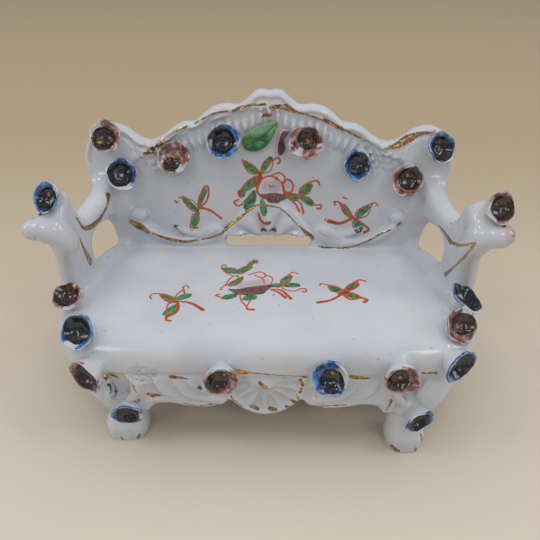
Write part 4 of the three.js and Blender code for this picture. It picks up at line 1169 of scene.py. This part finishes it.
# A wire is a socket of a material's nodes, and sums of wires and numbers add its Math nodes.
class Wire:
    def __init__(self, finish, socket):
        self.finish, self.socket = finish, socket

    def reckon(self, operation, one, two):
        return self.finish.node("ShaderNodeMath", {"operation": operation}, {0: one, 1: two})

    __add__ = __radd__ = lambda self, other: self.reckon("ADD", self, other)
    __mul__ = __rmul__ = lambda self, other: self.reckon("MULTIPLY", self, other)
    __sub__ = lambda self, other: self.reckon("SUBTRACT", self, other)
    __rsub__ = lambda self, other: self.reckon("SUBTRACT", other, self)

    def least(self, other):
        return self.reckon("MINIMUM", self, other)

    def most(self, other):
        return self.reckon("MAXIMUM", self, other)

    # smooth step from 0 at `start` to 1 at `end`; start may be the greater
    def step(self, start, end):
        return self.finish.node("ShaderNodeMapRange", {"interpolation_type": "SMOOTHSTEP"},
                                {"Value": self, "From Min": start, "From Max": end})


# A finish is a material: node() adds any node, with its settings first and then its sockets' values.
class Finish:
    def __init__(self, name, **fixed):
        self.material = bpy.data.materials.new(name)
        self.material.use_nodes = True
        self.tree = self.material.node_tree
        self.shader = self.tree.nodes["Principled BSDF"]
        for socket, value in fixed.items():
            self.shader.inputs[socket.replace("_", " ")].default_value = value
        self.spot = self.node("ShaderNodeTexCoord", output="Object")

    def node(self, kind, settings=None, values=None, output=0):
        made = self.tree.nodes.new(kind)
        for setting, value in (settings or {}).items():
            setattr(made, setting, value)
        for socket, value in (values or {}).items():
            if isinstance(value, Wire):
                self.tree.links.new(value.socket, made.inputs[socket])
            else:
                made.inputs[socket].default_value = value
        return Wire(self, made.outputs[output])

    def layer(self, name):
        return self.node("ShaderNodeAttribute", {"attribute_name": name}, output="Fac")

    # noise whose lumps are about `size` mm across
    def noise(self, size, detail=2.0, rough=0.5, twist=0.0):
        values = {"Vector": self.spot, "Scale": 1000 / size, "Detail": detail, "Roughness": rough}
        return self.node("ShaderNodeTexNoise", values={**values, "Distortion": twist})

    # distance to the nearest of scattered points, which stand about `size` mm apart, as a share of that
    def dots(self, size):
        return self.node("ShaderNodeTexVoronoi", values={"Vector": self.spot, "Scale": 1000 / size})

    def blend(self, share, one, two):
        return self.node("ShaderNodeMix", {"data_type": "RGBA"}, {0: share, 6: one, 7: two}, output=2)

    def feed(self, socket, value):
        self.tree.links.new(value.socket, self.shader.inputs[socket])

    # relief of `height` (a wire about 0 to 1) that stands `depth` mm high
    def relief(self, height, depth):
        values = {"Height": height, "Distance": depth / 1000, "Strength": 1.0}
        self.feed("Normal", self.node("ShaderNodeBump", values=values))

    def coat(self, *pieces):
        for piece in pieces:
            piece.data.materials.append(self.material)


# A colour as it looks on a screen, 0 to 255, brought to the linear values that sockets take: c / 12.92 in
# the darkest part, and past it (c + 0.055) / 1.055 to the power 2.4.
def paint(red, green, blue):
    linear = lambda c: c / 12.92 if c < 0.04045 else ((c + 0.055) / 1.055) ** 2.4
    return tuple(linear(c / 255) for c in (red, green, blue)) + (1.0,)


# Colours as they look on a screen. Sizes of noise and dots in the finishes are in mm.
glazeLook = {
    "white": (198, 201, 206), "pooled": (189, 192, 199), "warm": (200, 196, 193), "speck": (66, 58, 54),
    "red": (190, 76, 0), "redDeep": (122, 36, 0), "green": (30, 96, 58), "greenPale": (88, 146, 104),
    "plum": (80, 42, 38), "plumPale": (142, 94, 82), "pink": (176, 118, 122), "pinkDeep": (152, 84, 92),
    # the gilding's dark brown: partly real wear, partly a painted dark reflection of the metal
    "gold": (198, 158, 104), "goldWornAndDarkReflection": (92, 62, 38),
}


# White glaze with pinholes and specks, the enamels laid on it and the gilding on top, whose dark brown is
# partly real wear and partly a painted dark reflection of the metal. Each paint lies where its layer, the
# distance to the edge of its strokes in mm, is less than 0.
def porcelainGlaze():
    glaze = Finish("porcelain_glaze", IOR=1.5)
    look = {name: paint(*value) for name, value in glazeLook.items()}
    cloud, grain = glaze.noise(14, 3), glaze.noise(0.5, 4)
    colour = glaze.blend(cloud.step(0.35, 0.7), look["white"], look["pooled"])
    colour = glaze.blend(glaze.noise(22, 2).step(0.5, 0.75) * 0.5, colour, look["warm"])
    near = glaze.layer("nearFlower").step(8, 3)
    specks = glaze.dots(2.1).step(0.12, 0.05) * glaze.noise(4.0, 1).step(0.52, 0.6)
    crowd = glaze.dots(0.8).step(0.24, 0.1) * glaze.noise(1.6, 1).step(0.6, 0.68) * near
    colour = glaze.blend((specks * 0.7).most(crowd * 0.8), colour, look["speck"])
    edge = (glaze.noise(0.35, 2) - 0.5) * 0.28

    def under(layer, soft=0.07):
        return (glaze.layer(layer) + edge).step(soft, -soft)

    streaks = glaze.noise(0.7, 3, 0.6, 1.5)
    washed = (glaze.layer("pinkWash") + edge * 3).step(0.6, -0.9)
    colour = glaze.blend(washed * (0.25 + 0.35 * streaks), colour, look["pink"])
    colour = glaze.blend(glaze.layer("pinkWash").step(-1.3, -2.3) * 0.75, colour, look["pinkDeep"])
    colour = glaze.blend(under("darkDrop", 0.15) * 0.9, colour, look["speck"])
    thin = (glaze.noise(1.3, 2) + streaks * 0.3).step(0.45, 0.85)
    green = glaze.blend(thin, look["green"], look["greenPale"])
    colour = glaze.blend(under("greenEnamel") * (1.0 - streaks.step(0.62, 0.85) * 0.3), colour, green)
    plum = glaze.blend(streaks.step(0.4, 0.66), look["plum"], look["plumPale"])
    colour = glaze.blend(under("plumEnamel", 0.15) * 0.95, colour, plum)
    deep = glaze.layer("redEnamel").step(-0.12, -0.5)
    thick = (glaze.noise(0.9, 2).step(0.55, 0.75) * 0.5).most(deep * 0.75)
    red = glaze.blend(thick, look["red"], look["redDeep"])
    colour = glaze.blend(under("redEnamel") * (0.96 - streaks.step(0.6, 0.9) * 0.35), colour, red)
    gilt = (glaze.layer("gilding") + edge + 0.08).step(0.07, -0.07) * glaze.noise(0.6, 3).step(0.32, 0.4)
    # less metallic brown patches in the gilding: partly real wear, partly a painted dark reflection of the
    # metal
    wornAndDarkReflection = glaze.noise(1.3, 3, 0.6).step(0.45, 0.6) * 0.85
    colour = glaze.blend(gilt, colour, glaze.blend(wornAndDarkReflection, look["gold"], look["goldWornAndDarkReflection"]))
    glaze.feed("Base Color", colour)
    glaze.feed("Metallic", gilt * (1 - wornAndDarkReflection * 0.7))
    painted = under("greenEnamel").most(under("redEnamel"))
    glaze.feed("Roughness", 0.07 + 0.06 * glaze.noise(5, 2) + 0.1 * painted + 0.16 * gilt)
    pits = glaze.dots(2.3).step(0.05, 0.12)
    height = 0.5 * glaze.noise(4.5, 2) + 0.1 * grain + 0.25 * pits
    glaze.relief(height + 0.25 * painted + 0.3 * gilt, 0.09)
    return glaze


bloomLook = {
    "blue": {"band": (22, 88, 160), "bandPale": (104, 152, 194), "bandDark": (20, 44, 84),
             "heart": (17, 18, 25), "heartPale": (60, 59, 66)},
    "pink": {"band": (128, 82, 78), "bandPale": (186, 152, 150), "bandDark": (78, 44, 40),
             "heart": (38, 25, 24), "heartPale": (90, 64, 56)},
    "white": (196, 198, 203), "gold": (206, 168, 92), "giltDark": (120, 88, 42),
}


# A flower's glaze: white cup, a coloured band over the lip that is wiped off in places, a dark glossy
# heart with a ragged edge, and gilding on the dome.
def bloomGlaze(kind):
    look = {name: paint(*value) for name, value in bloomLook[kind].items()}
    white = paint(*bloomLook["white"])
    glaze = Finish(kind + "_bloom_glaze", Roughness=0.07, IOR=1.5, Coat_Weight=0.5, Coat_Roughness=0.1)
    place, waver = glaze.layer("place"), glaze.layer("waver")
    ragged = (glaze.noise(1.3, 3) - 0.5) * 0.5
    fine = (glaze.noise(0.4, 2) - 0.5) * 0.1
    edge = glaze.layer("heart") + ragged * 0.5 + (waver - 0.5) * 0.25
    band = glaze.blend(glaze.noise(1.6, 3).step(0.42, 0.64), look["band"], look["bandPale"])
    stain = (glaze.noise(2.6, 3).step(0.54, 0.66) * 0.8).most(edge.step(0.7, 0.0) * 0.6)
    band = glaze.blend(stain, band, look["bandDark"])
    laid = (place + ragged * 0.25).step(0.88, 0.93)
    wiped = (glaze.layer("wiped") + ragged * 2).step(0.12, -0.12) * 0.95
    lipBare = (place + fine).step(0.955, 0.985).least((place + fine).step(1.08, 1.04))
    colour = glaze.blend(laid * (1 - wiped) * (1 - lipBare * 0.6 * waver.step(0.3, 0.7)), white, band)
    heart = glaze.blend(glaze.noise(0.7, 4, 0.6).step(0.46, 0.68), look["heart"], look["heartPale"])
    colour = glaze.blend(edge.step(0.08, -0.08) * 0.97, colour, heart)
    kept = (0.4 + glaze.noise(0.5, 2).step(0.35, 0.5)).least(1.0)
    gilt = (glaze.layer("gilt") + fine * 3).step(0.05, -0.08) * kept
    gold, dark = paint(*bloomLook["gold"]), paint(*bloomLook["giltDark"])
    colour = glaze.blend(gilt, colour, glaze.blend(glaze.noise(0.5, 2).step(0.45, 0.65), gold, dark))
    glaze.feed("Base Color", colour)
    glaze.feed("Metallic", gilt)
    inHeart = edge.step(0.1, -0.1)
    glaze.feed("Roughness", 0.05 + 0.22 * gilt + 0.1 * inHeart + 0.04 * glaze.noise(2, 2))
    glaze.relief(glaze.noise(2.4, 2) + glaze.noise(1.5, 1) * (0.2 + 0.2 * inHeart), 0.1)
    return glaze


leafLook = {"green": (24, 92, 48), "pale": (118, 166, 118), "edge": (176, 192, 176), "vein": (18, 64, 34)}


# The leaf's translucent green: pale where it is thin, dark in the veins and where it pooled at the foot.
def leafGlaze():
    glaze = Finish("leaf_glaze", Roughness=0.08, IOR=1.5, Coat_Weight=0.4, Coat_Roughness=0.03)
    look = {name: paint(*value) for name, value in leafLook.items()}
    side = glaze.node("ShaderNodeMath", {"operation": "ABSOLUTE"}, {0: glaze.layer("side")})
    cloud = glaze.noise(2.2, 3)
    upper = glaze.layer("side") * 0.16
    thin = (cloud * 0.9 + glaze.layer("place") * 0.25 + upper).step(0.42, 0.78)
    colour = glaze.blend(thin, look["green"], look["pale"])
    colour = glaze.blend(glaze.layer("vein").step(0.2, 0.9) * 0.6, colour, look["vein"])
    outer = (side + (glaze.noise(0.8, 2) - 0.5) * 0.1).step(0.93, 1.0)
    colour = glaze.blend(outer * 0.8, colour, look["edge"])
    glaze.feed("Base Color", colour)
    glaze.feed("Roughness", 0.06 + 0.08 * cloud)
    glaze.relief(glaze.noise(1.1, 3), 0.08)
    return glaze


petalLook = {"dark": (62, 38, 38), "mauve": (128, 84, 84), "pale": (204, 186, 186)}


# The stub's dark mauve, brushed along the petal, pink towards its top and bare at its left edge.
def petalGlaze():
    glaze = Finish("petal_glaze", Roughness=0.1, IOR=1.5, Coat_Weight=0.35, Coat_Roughness=0.03)
    look = {name: paint(*value) for name, value in petalLook.items()}
    place, side = glaze.layer("place"), glaze.layer("side")
    streaks = glaze.noise(0.5, 3, 0.6, 0.8)
    colour = glaze.blend((streaks * 0.6 + place * 0.5).step(0.5, 0.8), look["dark"], look["mauve"])
    bare = (side + (streaks - 0.5) * 0.4).step(-0.6, -0.85).most(place.step(0.9, 1.0))
    colour = glaze.blend(bare, colour, look["pale"])
    glaze.feed("Base Color", colour)
    glaze.feed("Roughness", 0.08 + 0.1 * streaks)
    glaze.relief(streaks, 0.1)
    return glaze


porcelainGlaze().coat(settee)
for kind in ("blue", "pink"):
    bloomGlaze(kind).coat(*blooms[kind])
leafGlaze().coat(greenLeaf)
petalGlaze().coat(petalStub)
print("stage: finishes")

# Stage and camera

floorHalf = 3  # metres
floorCorners = [(x * floorHalf, y * floorHalf, 0) for x, y in ((-1, -1), (1, -1), (1, 1), (-1, 1))]
floorMesh = bpy.data.meshes.new("floor")
floorMesh.from_pydata(floorCorners, [], [(0, 1, 2, 3)])
floor = bpy.data.objects.new("floor", floorMesh)
bpy.context.scene.collection.objects.link(floor)


# near and cloud are the floor's cream; far is painted shade, the colour the floor takes away from the camera
floorLookWithPaintedShade = {"near": (217, 207, 193), "cloud": (211, 200, 184), "far": (180, 161, 132)}


# The floor's cream: a matt colour with slow clouds in it, and painted shade that darkens and browns it away
# from the camera, where the light falls off.
def floorFinish():
    matt = Finish("cream_floor", Roughness=0.9)
    look = {name: paint(*value) for name, value in floorLookWithPaintedShade.items()}
    near = matt.blend(matt.noise(160, 3).step(0.3, 0.75), look["near"], look["cloud"])
    depth = matt.node("ShaderNodeSeparateXYZ", values={0: matt.spot}, output="Y")
    # painted shade: the cream blends to the far colour with distance from the camera
    matt.feed("Base Color", matt.blend(depth.step(-0.12, 0.22), near, look["far"]))
    matt.relief(matt.noise(1.2, 3), 0.05)
    return matt


floorFinish().coat(floor)

# The camera looks at `aim`, from so many mm away and so many degrees up, turned and rolled by degrees.
view = {
    "lens": 37.33, "sensor": 36, "elevation": 34.4, "distance": 161.8, "aim": (0.67, 0.0, 38.35),
    "yaw": -0.28, "roll": 0.4,
}


def placeCamera():
    data = bpy.data.cameras.new("camera")
    data.lens, data.sensor_width = view["lens"], view["sensor"]
    data.clip_start, data.clip_end = 0.005, 20
    camera = bpy.data.objects.new("camera", data)
    bpy.context.scene.collection.objects.link(camera)
    up, turn = math.radians(view["elevation"]), math.radians(-view["yaw"])
    away = view["distance"]
    x, y, z = np.array(view["aim"]) + (0, -away * math.cos(up), away * math.sin(up))
    eye = (x * math.cos(turn) - y * math.sin(turn), x * math.sin(turn) + y * math.cos(turn), z)
    camera.location = toFrame(eye)
    turned = Matrix.Rotation(turn, 3, "Z") @ Matrix.Rotation(math.pi / 2 - up, 3, "X")
    camera.rotation_euler = (turned @ Matrix.Rotation(math.radians(view["roll"]), 3, "Z")).to_euler()
    bpy.context.scene.camera = camera


placeCamera()

lightAim = (0, 0, 0.04)  # metres, the middle of the settee


# A rectangular lamp that shines towards the settee; one that isn't mirrored leaves no highlight.
def softLight(name, place, size, power, colour=(1, 1, 1), mirrored=True):
    data = bpy.data.lights.new(name, "AREA")
    data.shape, data.size, data.size_y = "RECTANGLE", size[0], size[1]
    data.energy, data.color = power, colour
    lamp = bpy.data.objects.new(name, data)
    lamp.location = place
    lamp.visible_glossy = mirrored
    bpy.context.scene.collection.objects.link(lamp)
    x, y, z = (to - at for to, at in zip(lightAim, place))
    lamp.rotation_euler = (math.atan2(math.hypot(x, y), -z), 0, math.atan2(y, x) - math.pi / 2)


# places and sizes in metres, power in watts; the small lamps give the crisp highlights
softLight("ceiling", (0.0, 0.2, 1.5), (2.4, 1.8), 14.6, (0.98, 0.99, 1.0), mirrored=False)
for side in (-1, 1):
    softLight("window", (0.95 * side, -0.1, 0.5), (0.4, 0.4), 1.8, (0.96, 0.98, 1.0))
    softLight("lamp", (0.6 * side, -0.15, 0.95), (0.1, 0.1), 0.5)
    softLight("glint", (0.45 * side, -0.7, 0.75), (0.28, 0.28), 1.0)
softLight("front", (0.0, -1.0, 0.85), (1.3, 0.9), 1.4, mirrored=False)

room = {"Color": (0.95, 0.97, 1, 1), "Strength": 0.26}
world = bpy.data.worlds.new("room")
world.use_nodes = True
for socket, value in room.items():
    world.node_tree.nodes["Background"].inputs[socket].default_value = value
bpy.context.scene.world = world
bpy.context.scene.view_settings.view_transform = "Standard"
